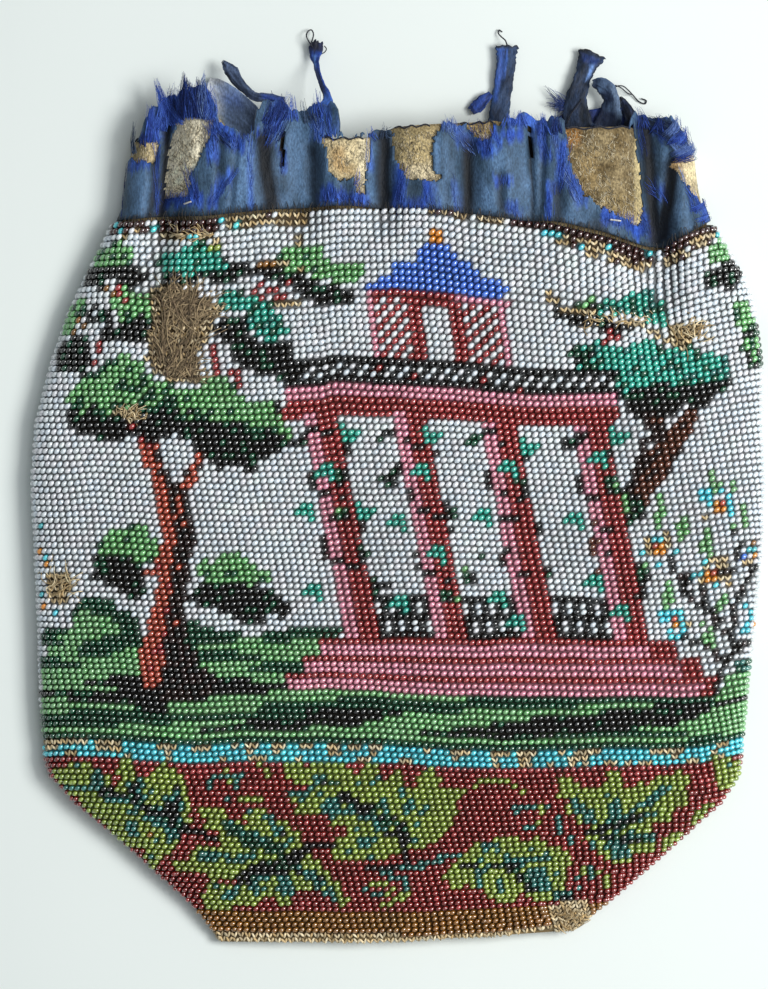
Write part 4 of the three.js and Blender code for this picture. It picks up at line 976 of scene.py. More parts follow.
# ------------------------------------------------------------------ knitted ground
def section_ring(y_of, front_steps, back_steps, inset):
    """Points round the form at heights y_of(is_front, share), set in along the section."""
    e = np.linspace(-1, 1, front_steps + 1)
    fs = .55 * e + .45 * np.sin(math.pi / 2 * e)
    e = np.linspace(1, -1, back_steps + 1)[1:-1]
    bs = .4 * e + .6 * np.sin(math.pi / 2 * e)
    s = np.concatenate([fs, bs])
    is_front = np.arange(len(s)) <= front_steps
    y = y_of(is_front, s)
    fx, fz = front(s, y)
    bx, bz = back(s, y)
    x, z = np.where(is_front, fx, bx), np.where(is_front, fz, bz)
    tx, tz = np.roll(x, -1) - np.roll(x, 1), np.roll(z, -1) - np.roll(z, 1)
    # The neighbours' own heights differ a little on an uneven edge; the turn is taken at one height.
    length = np.maximum(np.hypot(tx, tz), 1e-9)
    return np.stack([x + tz / length * inset, y, z - tx / length * inset], -1)


def row_height(y):
    def of(is_front, s):
        low = smooth((-94 - y) / (-94 + 107.2))
        x = across(s, y)
        lift = np.interp(x, BASE_LIFT[:, 0], BASE_LIFT[:, 1]) * low
        high = smooth((y - 33) / (RIM_Y - 33))
        return y + lift + np.where(is_front, np.interp(across(s, RIM_Y), RIM_LIFT[:, 0], RIM_LIFT[:, 1]) * high, 0)
    return of


def band_faces(first, second, n, flip=False):
    i = np.arange(n)
    j = (i + 1) % n
    q = np.stack([first + i, first + j, second + j, second + i], -1)
    return q[:, ::-1] if flip else q


def zip_cap(ring, split, flip):
    """Triangles that close a ring of points between its front and its back."""
    upper = list(range(split + 1))
    lower = [0] + list(range(len(ring) - 1, split, -1)) + [split]
    i = j = 0
    out = []
    while i < len(upper) - 1 or j < len(lower) - 1:
        a, b = upper[i], lower[j]
        on_upper = j == len(lower) - 1 or (i < len(upper) - 1 and ring[upper[i + 1], 0] <= ring[lower[j + 1], 0])
        if on_upper:
            i += 1
            c = upper[i]
        else:
            j += 1
            c = lower[j]
        if len({a, b, c}) == 3:
            out.append((a, c, b) if flip else (a, b, c))
    return np.array(out)


def halves(quads):
    return np.concatenate([quads[:, [0, 1, 2]], quads[:, [0, 2, 3]]])


def knitted_ground(material, bead_places, bead_colours):
    """The knitting under the beads, painted dark as painted shade between the beads, and tinted with the nearest beads'
    colours as painted light passing through the glass.
    """
    levels = np.concatenate([np.linspace(-106.2, -95, 9), np.linspace(-94, 30, 80), np.linspace(31.4, 63.0, 24)])
    fs, bs = 124, 44
    n = fs + bs
    inner_levels = levels[levels > -103.5][::2]
    inner_levels = np.append(inner_levels, levels[-1]) if inner_levels[-1] != levels[-1] else inner_levels
    rings = [section_ring(row_height(y), fs, bs, 1.16) for y in levels]
    rings += [section_ring(row_height(y), fs, bs, min(2.2, thick_at(y) * .36)) for y in inner_levels]
    o = len(levels) * n
    faces = [halves(band_faces(k * n, (k + 1) * n, n)) for k in range(len(levels) - 1)]
    faces += [halves(band_faces(o + k * n, o + (k + 1) * n, n, True)) for k in range(len(inner_levels) - 1)]
    faces += [halves(band_faces((len(levels) - 1) * n, o + (len(inner_levels) - 1) * n, n))]
    faces += [zip_cap(rings[0], fs, False), zip_cap(rings[len(levels)], fs, True) + o]
    pts = np.concatenate(rings)
    near = KDTree(len(bead_places))
    for k, q in enumerate(bead_places):
        near.insert(q, k)
    near.balance()
    # Painted shade and light: a near-black brown for the shade between the beads, plus a fifth of the nearest bead's
    # colour for light passing through the glass.
    tint = np.array([bead_colours[near.find(q)[1]] for q in pts]) * .2 + srgb(34, 28, 21) * .3
    # The base seam is bare thread.
    seam = pts[:, 1] < base_at(pts[:, 0]) + 1.2
    grain = .62 + .3 * noise_2d(pts[:, 0], pts[:, 1] + pts[:, 2], .9, 821)
    tint[seam] = srgb(196, 168, 120) * grain[seam][:, None]
    tint[o:] = srgb(120, 104, 78)
    return mesh_piece("knitted_ground", pts, np.concatenate(faces), material, tint)


# --------------------------------------------------------------- silk and leather
LEATHER_TOP = np.array([(-63.6, 82.4), (-56, 86), (-53, 88.2), (-51, 89.3), (-44.5, 88.8), (-42.8, 86), (-41.5, 82), (-36, 80), (-31, 82), (-28, 83.6), (-18.5, 82.9), (-16, 82.6), (-6, 82.8), (-1.5, 85.4), (8, 86), (22, 86.8),
                        (38.5, 85.2), (56, 85.6), (63, 82.6), (70.2, 80.6)])
# The silk's torn upper edge: plan places.
SILK_EDGE = [(112, 178), (116, 168), (124, 158), (130, 147), (136, 138), (140, 134), (146, 120), (152, 110), (160, 106), (164, 100), (172, 94), (182, 90), (194, 88),
             (205, 90), (211, 106), (217, 120), (226, 126), (234, 131), (241, 138), (250, 136), (258, 129), (261, 114), (265, 105), (275, 101), (285, 102), (290, 107),
             (300, 111), (311, 108), (316, 104), (322, 103), (332, 107), (336, 136), (352, 138), (366, 136), (376, 132), (386, 131), (393, 128), (418, 126), (434, 131),
             (442, 131), (445, 124), (458, 126), (463, 128), (470, 124), (490, 124), (500, 125), (508, 119), (518, 117), (528, 115), (532, 123), (537, 122), (548, 119),
             (560, 121), (563, 128), (600, 129), (634, 128), (637, 114), (646, 112), (656, 118), (668, 117), (680, 121), (688, 133), (696, 144), (702, 161), (706, 181),
             (710, 201), (713, 213)]
# Worn windows in the front silk: plan height, left, right, from the upper edge down.
WINDOWS = [
    [(138, 124, 159), (152, 123, 158), (162, 131, 152)],
    [(112, 181, 205), (117, 178, 215), (121, 176, 216), (135, 172, 212), (150, 168, 205), (162, 166, 200), (175, 165, 192), (197, 164, 189)],
    [(137, 319, 371), (148, 323, 371), (152, 327, 371), (172, 328, 368), (181, 336, 365), (182, 353, 366), (196, 358, 366)],
    [(122, 392, 438), (133, 392, 437), (145, 392, 433), (160, 395, 432), (172, 400, 433), (179, 406, 440), (183, 420, 444)],
    [(121, 466, 493), (130, 468, 493), (137, 473, 490), (142, 477, 486)],
    [(124, 562, 634), (140, 566, 636), (150, 567, 637), (168, 570, 640), (182, 576, 641), (196, 584, 642), (208, 598, 643), (216, 616, 643), (224, 634, 642)],
    [(146, 692, 703), (152, 683, 705), (158, 674, 706), (165, 669, 707), (174, 677, 708), (186, 688, 709), (200, 698, 710), (206, 704, 710)],
]
# Valleys between the gathers: upper and lower plan place, half width, depth from 0 to 1. The depth sets both the
# cloth's dip and the painted shade in the valleys.
PLEATS = [(170, 108, 161, 216, 5.0, .95), (263, 136, 272, 212, 9.5, .97), (313, 146, 315, 212, 7, .68), (385, 132, 384, 220, 9, .95), (468, 142, 468, 214, 7, .95),
          (499, 178, 503, 220, 4.5, .6), (529, 132, 532, 214, 2.2, .7), (556, 186, 559, 232, 6, .62), (645, 118, 656, 240, 8.5, .95), (674, 158, 662, 236, 9, .93),
          (156, 156, 150, 220, 5, .7), (116, 172, 114, 214, 4, .5), (222, 138, 218, 206, 5, .3), (240, 140, 231, 206, 3, .25), (345, 184, 348, 212, 7, .3), (414, 186, 416, 212, 9, .3),
          (600, 222, 596, 238, 14, .55), (446, 186, 449, 216, 4, .35), (545, 120, 540, 226, 3, .45), (636, 122, 646, 180, 5, .55), (690, 184, 694, 222, 4, .35)]
# Raised places of the gathers, painted paler as painted light on their lit faces: plan place, half width, half height,
# strength.
LIT_GATHERS = [(246, 172, 13, 38, .95), (140, 186, 7, 30, .55), (297, 150, 8, 45, .6), (372, 176, 4, 42, .75), (437, 160, 4, 22, .8), (446, 198, 14, 14, .6), (486, 200, 9, 14, .85),
        (498, 162, 14, 14, .55), (506, 196, 6, 14, .5), (540, 182, 8, 26, .3), (212, 168, 7, 26, .25), (660, 190, 6, 12, .6), (684, 210, 12, 14, .35), (574, 212, 10, 12, .25)]
# Where the face has worn off and the bright weft shows: strokes from place to place, half width, strength.
WORN = [(117, 174, 115, 212, 1.6, .7), (123, 166, 142, 163, 5, .6), (157, 142, 159, 210, 2.6, .62), (152, 112, 158, 136, 5.5, .75), (166, 100, 170, 116, 5, .95), (174, 98, 206, 98, 9, .72), (186, 108, 206, 110, 5, .6),
        (211, 118, 214, 158, 4.5, .7), (217, 122, 240, 148, 5, .85), (233, 142, 237, 150, 4, 1.0), (163, 199, 200, 199, 4.5, .92), (196, 192, 199, 206, 3, .8), (230, 174, 213, 203, 4.5, .85),
        (256, 131, 261, 135, 3, .9), (251, 138, 252, 206, 2.2, .45), (284, 103, 267, 140, 6, .6), (283, 152, 286, 172, 2, .7), (314, 104, 318, 136, 5, .75), (324, 106, 332, 136, 5, .45),
        (324, 196, 364, 203, 5, .85), (369, 136, 370, 168, 2.4, .6), (401, 172, 393, 213, 3.6, .95), (403, 206, 426, 208, 5, .62), (426, 186, 427, 204, 2, .9), (444, 124, 457, 126, 4, .6),
        (458, 130, 472, 150, 6, .55), (477, 144, 489, 152, 5, .95), (492, 130, 498, 142, 4, .8), (512, 120, 528, 121, 4.5, .8), (502, 136, 516, 137, 3.5, .85), (538, 122, 546, 158, 5, .65),
        (552, 122, 557, 156, 4, .45), (498, 182, 509, 182, 3.4, .85), (549, 186, 549, 217, 2.8, .95), (563, 146, 557, 190, 3, .8), (566, 172, 581, 202, 4, .6), (606, 217, 640, 230, 5, .92),
        (646, 216, 652, 234, 3.4, .75), (654, 184, 664, 198, 4.5, .85), (656, 122, 690, 140, 9, .6), (684, 168, 690, 184, 2.6, .55), (694, 188, 711, 212, 4, .72), (510, 208, 518, 214, 5, .45),
        (641, 116, 648, 150, 4, .3), (432, 190, 436, 212, 3, .35), (455, 186, 459, 212, 2.4, .5)]


# Places of the leather painted in another colour: its own paler and browner tones; painted light on the leather in the
# second window from the left and along the curled right edge of the big right window; and painted shade, near black,
# behind the silk's two slits and a notch. Plan place, half width, half height, colour, strength.
HIDE_TONE_LIGHT_AND_SHADE = [(190, 155, 30, 52, (255, 246, 218), .95), (285, 152, 6, 26, (26, 25, 26), .97), (531, 146, 6, 22, (10, 13, 20), .97), (550, 128, 6, 12, (20, 26, 40), .9), (143, 150, 16, 14, (208, 190, 146), .8), (348, 158, 26, 26, (234, 216, 172), .9), (338, 160, 8, 13, (166, 122, 62), .6),
        (347, 171, 9, 6, (172, 132, 72), .5), (364, 164, 5, 26, (240, 228, 194), .8), (412, 150, 24, 24, (204, 184, 136), .85), (421, 174, 16, 9, (228, 214, 180), .7),
        (480, 132, 14, 10, (198, 172, 118), .8), (571, 138, 9, 10, (180, 124, 62), .6), (618, 140, 10, 14, (104, 86, 54), .6), (639, 180, 5, 60, (230, 212, 160), .75),
        (620, 206, 18, 12, (186, 164, 116), .5), (586, 172, 12, 20, (174, 148, 100), .45), (694, 176, 18, 30, (234, 216, 174), .9), (676, 164, 6, 8, (198, 156, 104), .5)]


def thick_grid(outer_pts, inner_pts, keep):
    """A closed sheet from two grids of points (rows, columns round a ring) and the cells that are kept."""
    rows, n = outer_pts.shape[:2]
    o = np.arange(rows * n).reshape(rows, n)
    i = o + rows * n
    nxt = np.roll(np.arange(n), -1)
    q = np.stack([o[:-1], o[:-1][:, nxt], o[1:][:, nxt], o[1:]], -1)
    qi = np.stack([i[:-1], i[1:], i[1:][:, nxt], i[:-1][:, nxt]], -1)
    faces = [q[keep], qi[keep]]
    pad = np.zeros((1, n), bool)
    below, above = np.concatenate([pad, keep[:-1]]), np.concatenate([keep[1:], pad])
    m = keep & ~below
    faces.append(np.stack([o[:-1], i[:-1], i[:-1][:, nxt], o[:-1][:, nxt]], -1)[m])
    m = keep & ~above
    faces.append(np.stack([o[1:], o[1:][:, nxt], i[1:][:, nxt], i[1:]], -1)[m])
    m = keep & ~np.roll(keep, 1, 1)
    faces.append(np.stack([o[:-1], o[1:], i[1:], i[:-1]], -1)[m])
    m = keep & ~np.roll(keep, -1, 1)
    faces.append(np.stack([o[:-1][:, nxt], i[:-1][:, nxt], i[1:][:, nxt], o[1:][:, nxt]], -1)[m])
    faces = np.concatenate(faces)
    pts = np.concatenate([outer_pts.reshape(-1, 3), inner_pts.reshape(-1, 3)])
    used = np.unique(faces)
    remap = np.zeros(len(pts), int)
    remap[used] = np.arange(len(used))
    return pts[used], remap[faces], used


def edge_height(table, back_level):
    def of(is_front, s):
        x = across(s, 84)
        top = np.interp(x, table[:, 0], table[:, 1])
        side = np.where(x < 0, table[0, 1], table[-1, 1])
        level = back_level(x) if callable(back_level) else back_level
        return np.where(is_front, top, side + (level - side) * smooth((1 - np.abs(s)) / .2))
    return of


def band_grid(low_of, high_of, insets, fs, bs, levels):
    out = []
    for inset in insets:
        rings = []
        for t in np.linspace(0, 1, levels + 1):
            rings.append(section_ring(lambda f, s: low_of(f, s) + (high_of(f, s) - low_of(f, s)) * t, fs, bs, inset))
        out.append(np.array(rings))
    return out


def in_windows(x, y):
    u, v = plan(x, y)
    hit = np.zeros(x.shape, bool)
    for rows in WINDOWS:
        h = np.array([r[0] for r in rows])
        left = np.interp(v, h, np.array([r[1] for r in rows]))
        right = np.interp(v, h, np.array([r[2] for r in rows]))
        hit |= (v >= h[0]) & (v <= h[-1]) & (u >= left) & (u <= right)
    return hit


def silk_top():
    """The torn edge as heights over the places across at the height of the mouth."""
    u, v = np.array(SILK_EDGE, float).T
    x, y = (u - 398) * MM, (492 - v) * MM
    at = across(np.clip(share_of(x, y), -.995, .995), np.full(len(u), 84.0))
    order = np.argsort(at, kind="stable")
    return np.stack([at[order], y[order]], -1)


def valleys(x, y):
    """0 on the face of the gathers, 1 at the bottom of the deepest valley."""
    u, v = plan(x, y)
    best = np.zeros(np.shape(x))
    for u0, v0, u1, v1, half, deep in PLEATS:
        t = np.clip((v - v0) / (v1 - v0), -.2, 1.2)
        c = u0 + (u1 - u0) * t + 1.2 * noise_2d(v * .06, v * 0 + u0, 1.0, 303)
        a = np.exp(-((u - c) / half) ** 2) * deep * smooth((v - v0 + 12) / 18) * smooth((v1 + 14 - v) / 14)
        best = np.maximum(best, a)
    return best


def brightness(x, y):
    """0 where the silk's grey face is whole, 1 where only bright weft is left."""
    u, v = plan(x, y)
    best = np.zeros(np.shape(x))
    streak = .55 * noise_2d(x, y * .10, .42, 301) + .35 * noise_2d(x, y * .18, 1.3, 302)
    for u0, v0, u1, v1, half, strength in WORN:
        du, dv = u1 - u0, v1 - v0
        t = np.clip(((u - u0) * du + (v - v0) * dv) / (du * du + dv * dv), 0, 1)
        d = np.hypot(u - u0 - du * t, (v - v0 - dv * t) * .8)
        best = np.maximum(best, strength * np.clip((half - d) / 6.0 + .55 + 1.25 * streak, 0, 1) * smooth((half * 2.4 + 4 - d) / 6))
    return best


def ripple(x, y):
    """How far the gathers lift the front cloth at a place."""
    rise = .20 * noise_2d(x + .06 * y, y * .16, 2.6, 311) + .12 * noise_2d(x, y * .3, 1.1, 312)
    dip = valleys(x, y)
    return (rise + .35 * smooth((.3 - dip) / .3) - .85 * dip) * smooth((y - rim_at(x)) / 4)


def silk_face(u, v, lift=0.0):
    """A point on the front silk's face at a plan place."""
    x, y = (np.asarray(u, float) - 398) * MM, (492 - np.asarray(v, float)) * MM
    p, n = outer(np.ones(np.shape(x), bool), share_of(x, y), y)
    p = p - n * (1.2 - lift)[..., None] if np.ndim(lift) else p - n * (1.2 - lift)
    p[..., 2] += ripple(p[..., 0], p[..., 1]) * (p[..., 2] > 4)
    return p


def fibres(name, lines, radius, material, tint):
    """Thin closed threads of three sides along lines (n, k, 3)."""
    n, k = lines.shape[:2]
    along = np.gradient(lines, axis=1)
    along /= np.maximum(np.linalg.norm(along, axis=2, keepdims=True), 1e-9)
    side = np.cross(along, np.array([.12, .05, 1.0]))
    side /= np.maximum(np.linalg.norm(side, axis=2, keepdims=True), 1e-9)
    face = np.cross(side, along)
    taper = np.linspace(1, .45, k)[None, :, None]
    ring = [lines + taper * np.asarray(radius)[:, None, None] * (side * math.cos(a) + face * math.sin(a)) for a in (.5, 2.6, 4.7)]
    pts = np.stack(ring, 2).reshape(n, k * 3, 3)
    quads = []
    for j in range(k - 1):
        for m in range(3):
            a, b = 3 * j + m, 3 * j + (m + 1) % 3
            quads += [(a, b, b + 3), (a, b + 3, a + 3)]
    e = 3 * (k - 1)
    quads += [(0, 2, 1), (e, e + 1, e + 2)]
    f = np.array(quads)[None] + (np.arange(n) * k * 3)[:, None, None]
    return mesh_piece(name, pts.reshape(-1, 3), f.reshape(-1, 3), material, np.repeat(tint, k * 3, 0))


def cloth_material(name, rough, bump_scale, bump, sheen, dark=.62, light=1.25, stretch=.45):
    m, nt, b = new_material(name, Roughness=rough)
    b.inputs["Sheen Weight"].default_value = sheen
    b.inputs["Sheen Roughness"].default_value = .4
    b.inputs["Specular IOR Level"].default_value = .25
    a = node(nt, "ShaderNodeAttribute", attribute_name="tint")
    co = node(nt, "ShaderNodeTexCoord")
    mp = node(nt, "ShaderNodeMapping")
    mp.inputs["Scale"].default_value = (bump_scale, bump_scale * stretch, bump_scale)
    no = node(nt, "ShaderNodeTexNoise")
    no.inputs["Scale"].default_value = 1.0
    no.inputs["Detail"].default_value = 5
    mix = node(nt, "ShaderNodeMix", data_type="RGBA", blend_type="MULTIPLY")
    ramp = node(nt, "ShaderNodeValToRGB")
    ramp.color_ramp.elements[0].position = .28
    ramp.color_ramp.elements[1].position = .72
    ramp.color_ramp.elements[0].color = (dark, dark, dark, 1)
    ramp.color_ramp.elements[1].color = (light, light, light, 1)
    bu = node(nt, "ShaderNodeBump")
    bu.inputs["Strength"].default_value = bump
    bu.inputs["Distance"].default_value = .0004
    nt.links.new(co.outputs["Object"], mp.inputs["Vector"])
    nt.links.new(mp.outputs["Vector"], no.inputs["Vector"])
    nt.links.new(no.outputs["Fac"], ramp.inputs["Fac"])
    mix.inputs["Factor"].default_value = 1.0
    nt.links.new(a.outputs["Color"], mix.inputs["A"])
    nt.links.new(ramp.outputs["Color"], mix.inputs["B"])
    nt.links.new(mix.outputs["Result"], b.inputs["Base Color"])
    nt.links.new(no.outputs["Fac"], bu.inputs["Height"])
    nt.links.new(bu.outputs["Normal"], b.inputs["Normal"])
    return m


SLATE, SLATE_LIGHT, COBALT, NAVY = srgb(54, 77, 98), srgb(104, 140, 182), srgb(50, 94, 208), srgb(20, 34, 72)


def silk_tint(x, y, is_face):
    """Colour of the silk: faded slate with painted light on the raised gathers, bright where worn, and painted shade in
    the valleys.
    """
    u, v = plan(x, y)
    fade = .22 + .28 * noise_2d(x, y * .5, 5.0, 331) + .26 * noise_2d(x, y * .35, 1.4, 332)
    # Painted light: the raised gathers are painted paler, over the silk's own faded slate.
    for u0, v0, du, dv, strength in LIT_GATHERS:
        fade = np.maximum(fade, strength * np.exp(-((u - u0) / du) ** 2 - ((v - v0) / dv) ** 4) + .2 * noise_2d(x, y * .3, 1.0, 334))
    fade = np.clip(fade, 0, 1)[..., None]
    tint = SLATE * (1 - fade) + SLATE_LIGHT * fade
    streak = .5 + .5 * noise_2d(x, y * .07, .40, 333)
    vivid = COBALT * (.38 + .85 * streak)[..., None] + srgb(90, 126, 170) * (.4 * smooth((streak - .62) / .2))[..., None]
    b = (brightness(x, y) * is_face)[..., None]
    tint = tint * (1 - b) + vivid * b
    # Painted shade in the valleys between the gathers.
    g = (valleys(x, y) * is_face)[..., None]
    g = np.minimum(1, 1.25 * g)
    tint = tint * (1 - .96 * g) + srgb(8, 13, 22) * .4 * g
    # Dark sewing and dirt along the lower edge.
    up = y - rim_at(x) + rim_drop(x)
    low = (smooth((1.5 - up + .5 * noise_2d(x, y, .9, 335)) / 1.0) * is_face)[..., None]
    tint = tint * (1 - .7 * low) + srgb(34, 40, 44) * .5 * low
    # The back's lining where it stands above the front: pale at the left, blue in the middle, in shadow at the right.
    lining = (~is_face & (u > 196) & (u < 272) & (v < 142))[..., None]
    q = smooth((u - 214 + 4 * noise_2d(x, y, 1.5, 336)) / 12)[..., None]
    p = smooth((u - 240 + 3 * noise_2d(x, y, 1.5, 337)) / 14)[..., None]
    b = np.exp(-((u - 233) / 10) ** 2 - ((v - 97) / 8) ** 2)[..., None] * (.6 + .4 * streak)[..., None]
    coat = srgb(222, 228, 238) * (1 - q) + srgb(150, 176, 220) * q
    coat = coat * (1 - b) + srgb(86, 120, 206) * b
    coat = (coat * (1 - p) + srgb(92, 110, 140) * p) * (.85 + .3 * noise_2d(x, y, .7, 338))[..., None]
    tint = np.where(lining, coat / .8, tint)
    # Behind the right-hand tabs the back silk is darkened to navy-black in random patches.
    dark_behind_right_tabs = (~is_face & (u > 552) & (u < 646) & (v < 132))[..., None]
    w = np.clip(.5 + .9 * noise_2d(x, y, 1.6, 339), 0, 1)[..., None]
    tint = np.where(dark_behind_right_tabs, (srgb(14, 20, 40) * (1 - w) + srgb(40, 62, 130) * w) / .8, tint)
    return np.clip(tint, 0, 1)


def rim_drop(x):
    """How far the silk's lower edge hangs over the rim."""
    u = x / MM + 398
    return .95 * smooth((u - 350) / 60) * smooth((570 - u) / 50)


def silk_band(material):
    low = lambda f, s: row_height(RIM_Y)(f, s) + .35 - np.where(f, rim_drop(across(s, 66)), 0)
    back_top = lambda x: np.interp(x, [-60, -49, -46.5, -45, -42, -38, -34, -31, -28, -20, -17.6, -6.4, -4, 35, 38, 41, 46, 50, 54, 57.5, 60],
                                   [85.0, 86.5, 94.0, 98.0, 97.6, 95.0, 91.6, 88.0, 85.4, 85.2, 83.3, 83.3, 84.8, 84.6, 88.6, 90.8, 90.2, 91.4, 90.6, 88.0, 84.6])
    high = edge_height(silk_top(), back_top)
    fs, bs, levels = 320, 64, 54
    face, under = band_grid(low, high, (1.2, 1.62), fs, bs, levels)
    # Gathers and small ripples of the cloth.
    is_front = np.arange(fs + bs) <= fs
    x, y = face[..., 0].copy(), face[..., 1].copy()
    wave = ripple(x, y) * is_front[None, :] * (face[..., 2] > 4)
    # The upper edge is torn into points between its threads.
    frac = np.linspace(0, 1, levels + 1)[:, None]
    tear = (.7 * noise_2d(x[-1], x[-1] * 0, 1.3, 313) + .6 * noise_2d(x[-1], x[-1] * 0, .6, 314))[None, :] * is_front[None, :] * smooth((frac - .7) / .3)
    for g in (face, under):
        g[..., 2] += wave
        g[..., 1] += tear
    x, y = face[..., 0], face[..., 1]
    cx, cy = .25 * (x[:-1] + x[1:] + np.roll(x, -1, 1)[:-1] + np.roll(x, -1, 1)[1:]), .25 * (y[:-1] + y[1:] + np.roll(y, -1, 1)[:-1] + np.roll(y, -1, 1)[1:])
    jx = cx + .35 * noise_2d(cx * .2, cy, .9, 321)
    jy = cy + .7 * noise_2d(cx, cy * .05, .7, 322)
    front_cells = (np.arange(fs + bs) < fs)[None, :]
    keep = ~(in_windows(jx, jy) & front_cells & (face[:-1, :, 2] > 4.0))
    # A slit and a split seam.
    keep &= ~(front_cells & (np.abs(cx + 27.0 - .05 * (cy - 80)) < .5) & (cy > 76) & (cy < 84.6))
    keep &= ~(front_cells & (np.abs(cx - 31.2 + .05 * (cy - 80)) < .3) & (cy > 78) & (cy < 85.4))
    pts, faces, used = thick_grid(face, under, keep)
    inner = used >= face.shape[0] * face.shape[1]
    tint = silk_tint(pts[:, 0], pts[:, 1], (pts[:, 2] > 4) & ~inner)
    tint = np.where(inner[:, None], tint * .8, tint)
    ob = mesh_piece("silk_band_cloth", pts, halves(faces), material, np.clip(tint, 0, 1))
    return ob


def leather_band(material):
    low = lambda f, s: row_height(RIM_Y)(f, s) - 5.0
    high = edge_height(LEATHER_TOP, 83.0)
    fs, bs = 240, 44
    face, under, forward = band_grid(low, high, (2.75, 3.95, 1.35), fs, bs, 34)
    x, y = face[..., 0], face[..., 1]
    lump = .16 * noise_2d(x, y, 3.2, 341) + .14 * noise_2d(x, y, 1.2, 342)
    # It stands forward where the silk has gone from over it.
    u, v = plan(forward[..., 0], forward[..., 1])
    proud, shown = np.zeros(x.shape), np.zeros(x.shape)
    for rows in WINDOWS:
        h = np.array([r[0] for r in rows], float)
        u0, u1 = np.interp(v, h, [r[1] for r in rows]), np.interp(v, h, [r[2] for r in rows])
        proud = np.maximum(proud, smooth((u - u0 + 11) / 9) * smooth((u1 + 11 - u) / 9) * smooth((v - h[0] + 18) / 10) * smooth((h[-1] + 10 - v) / 10))
        shown = np.maximum(shown, smooth((u - u0 - 1) / 6) * smooth((u1 - 1 - u) / 6) * smooth((v - h[0] + 18) / 10) * smooth((h[-1] - 2 - v) / 8))
    proud = (.76 * proud * (face[..., 2] > 3))[..., None]
    face[:] = face * (1 - proud) + forward * proud
    is_front = np.arange(fs + bs) <= fs
    wave = ripple(x, y) * is_front[None, :] * (face[..., 2] > 3)
    face[..., 2] += wave + lump * np.where(shown > .02, shown, .25)
    under[..., 2] += np.minimum(wave, 0)
    keep = np.ones((face.shape[0] - 1, face.shape[1]), bool)
    pts, faces, used = thick_grid(face, under, keep)
    u, v = plan(pts[:, 0], pts[:, 1])
    t = np.clip(.5 + .45 * noise_2d(pts[:, 0], pts[:, 1], 4.0, 343) + .4 * noise_2d(pts[:, 0], pts[:, 1], 1.0, 344), 0, 1)
    tint = srgb(88, 72, 44) * (1 - t)[:, None] + srgb(158, 141, 106) * t[:, None]
    shade = (.75 + .5 * t)[:, None]
    # Paler and browner tones of the leather, with painted light on lit leather and painted shade, near black, in the
    # silk's slits.
    for u0, v0, du, dv, colour, strength in HIDE_TONE_LIGHT_AND_SHADE:
        w = strength * np.exp(-((u - u0) / du) ** 4 - ((v - v0) / dv) ** 4)[:, None]
        tint = tint * (1 - w) + srgb(*colour) * shade * w
    tint = np.clip(tint, 0, 1)
    return mesh_piece("leather_band_suede", pts, halves(faces), material, tint)


# ----------------------------------------------------------------- torn silk tabs
# Plan place, height, width in plan units and roll in degrees, from the root to the end.
TABS = {
    "silk_tab_left": [(284, 102, 11.2, 9, 6), (268, 99, 10.8, 10, 4), (256, 97, 10.2, 9, 0), (246, 90, 8.6, 9, -8), (237, 79, 6.6, 12, -8), (231, 70, 5.2, 14, -6), (226, 64, 4.2, 9, 0),
                      (222.5, 60, 3.4, 3, 0)],
    "silk_tab_twisted": [(324, 138, 10.6, 15, 0), (323, 122, 11.4, 20, 0), (326, 108, 11.2, 16, 6), (327, 97, 9.6, 9, 25), (322, 84, 7.2, 7.5, 45), (318, 72, 4.8, 6.5, 50),
                         (316, 61, 3.0, 7, 35), (315, 53, 2.4, 12, 15), (316, 46, 2.2, 15, 5), (318, 39, 2.0, 9, 0)],
    "silk_tab_centre": [(498, 124, 1.3, 21, 0), (500, 108, 1.4, 20, -4), (503, 90, 1.5, 19, 4), (506, 70, 1.6, 19, -6), (507.5, 52, 1.8, 20, -3), (508, 43, 2.0, 24, 0)],
    "silk_tab_centre_tail": [(491, 91, 1.6, 6, 0), (485, 97, 1.6, 11, 0), (478, 104, 1.4, 14, 0), (472, 109, 1.2, 9, 0)],
    "silk_tab_right": [(580, 127, 2.4, 30, 0), (577, 112, 2.4, 27, 6), (577, 98, 2.4, 22, 8), (581, 84, 2.3, 18, -6), (585, 73, 2.3, 17, -8), (589, 62, 2.1, 21, 4), (592, 54, 1.9, 27, 0),
                       (593.5, 50, 1.8, 28, 0)],
    "silk_tab_right_loop": [(608, 127, 2.4, 29, 0), (611, 114, 2.8, 24, 10), (612, 99, 4.0, 17, 26), (607, 88, 4.8, 19, 28), (600, 83, 4.6, 15, 22), (594, 82, 4.0, 8, 12)],
    "silk_flap_right": [(634, 127, 2.3, 16, 0), (631, 113, 2.2, 13, 0), (626, 101, 1.1, 8, 0), (622, 95, 1.0, 3, 0)],
}
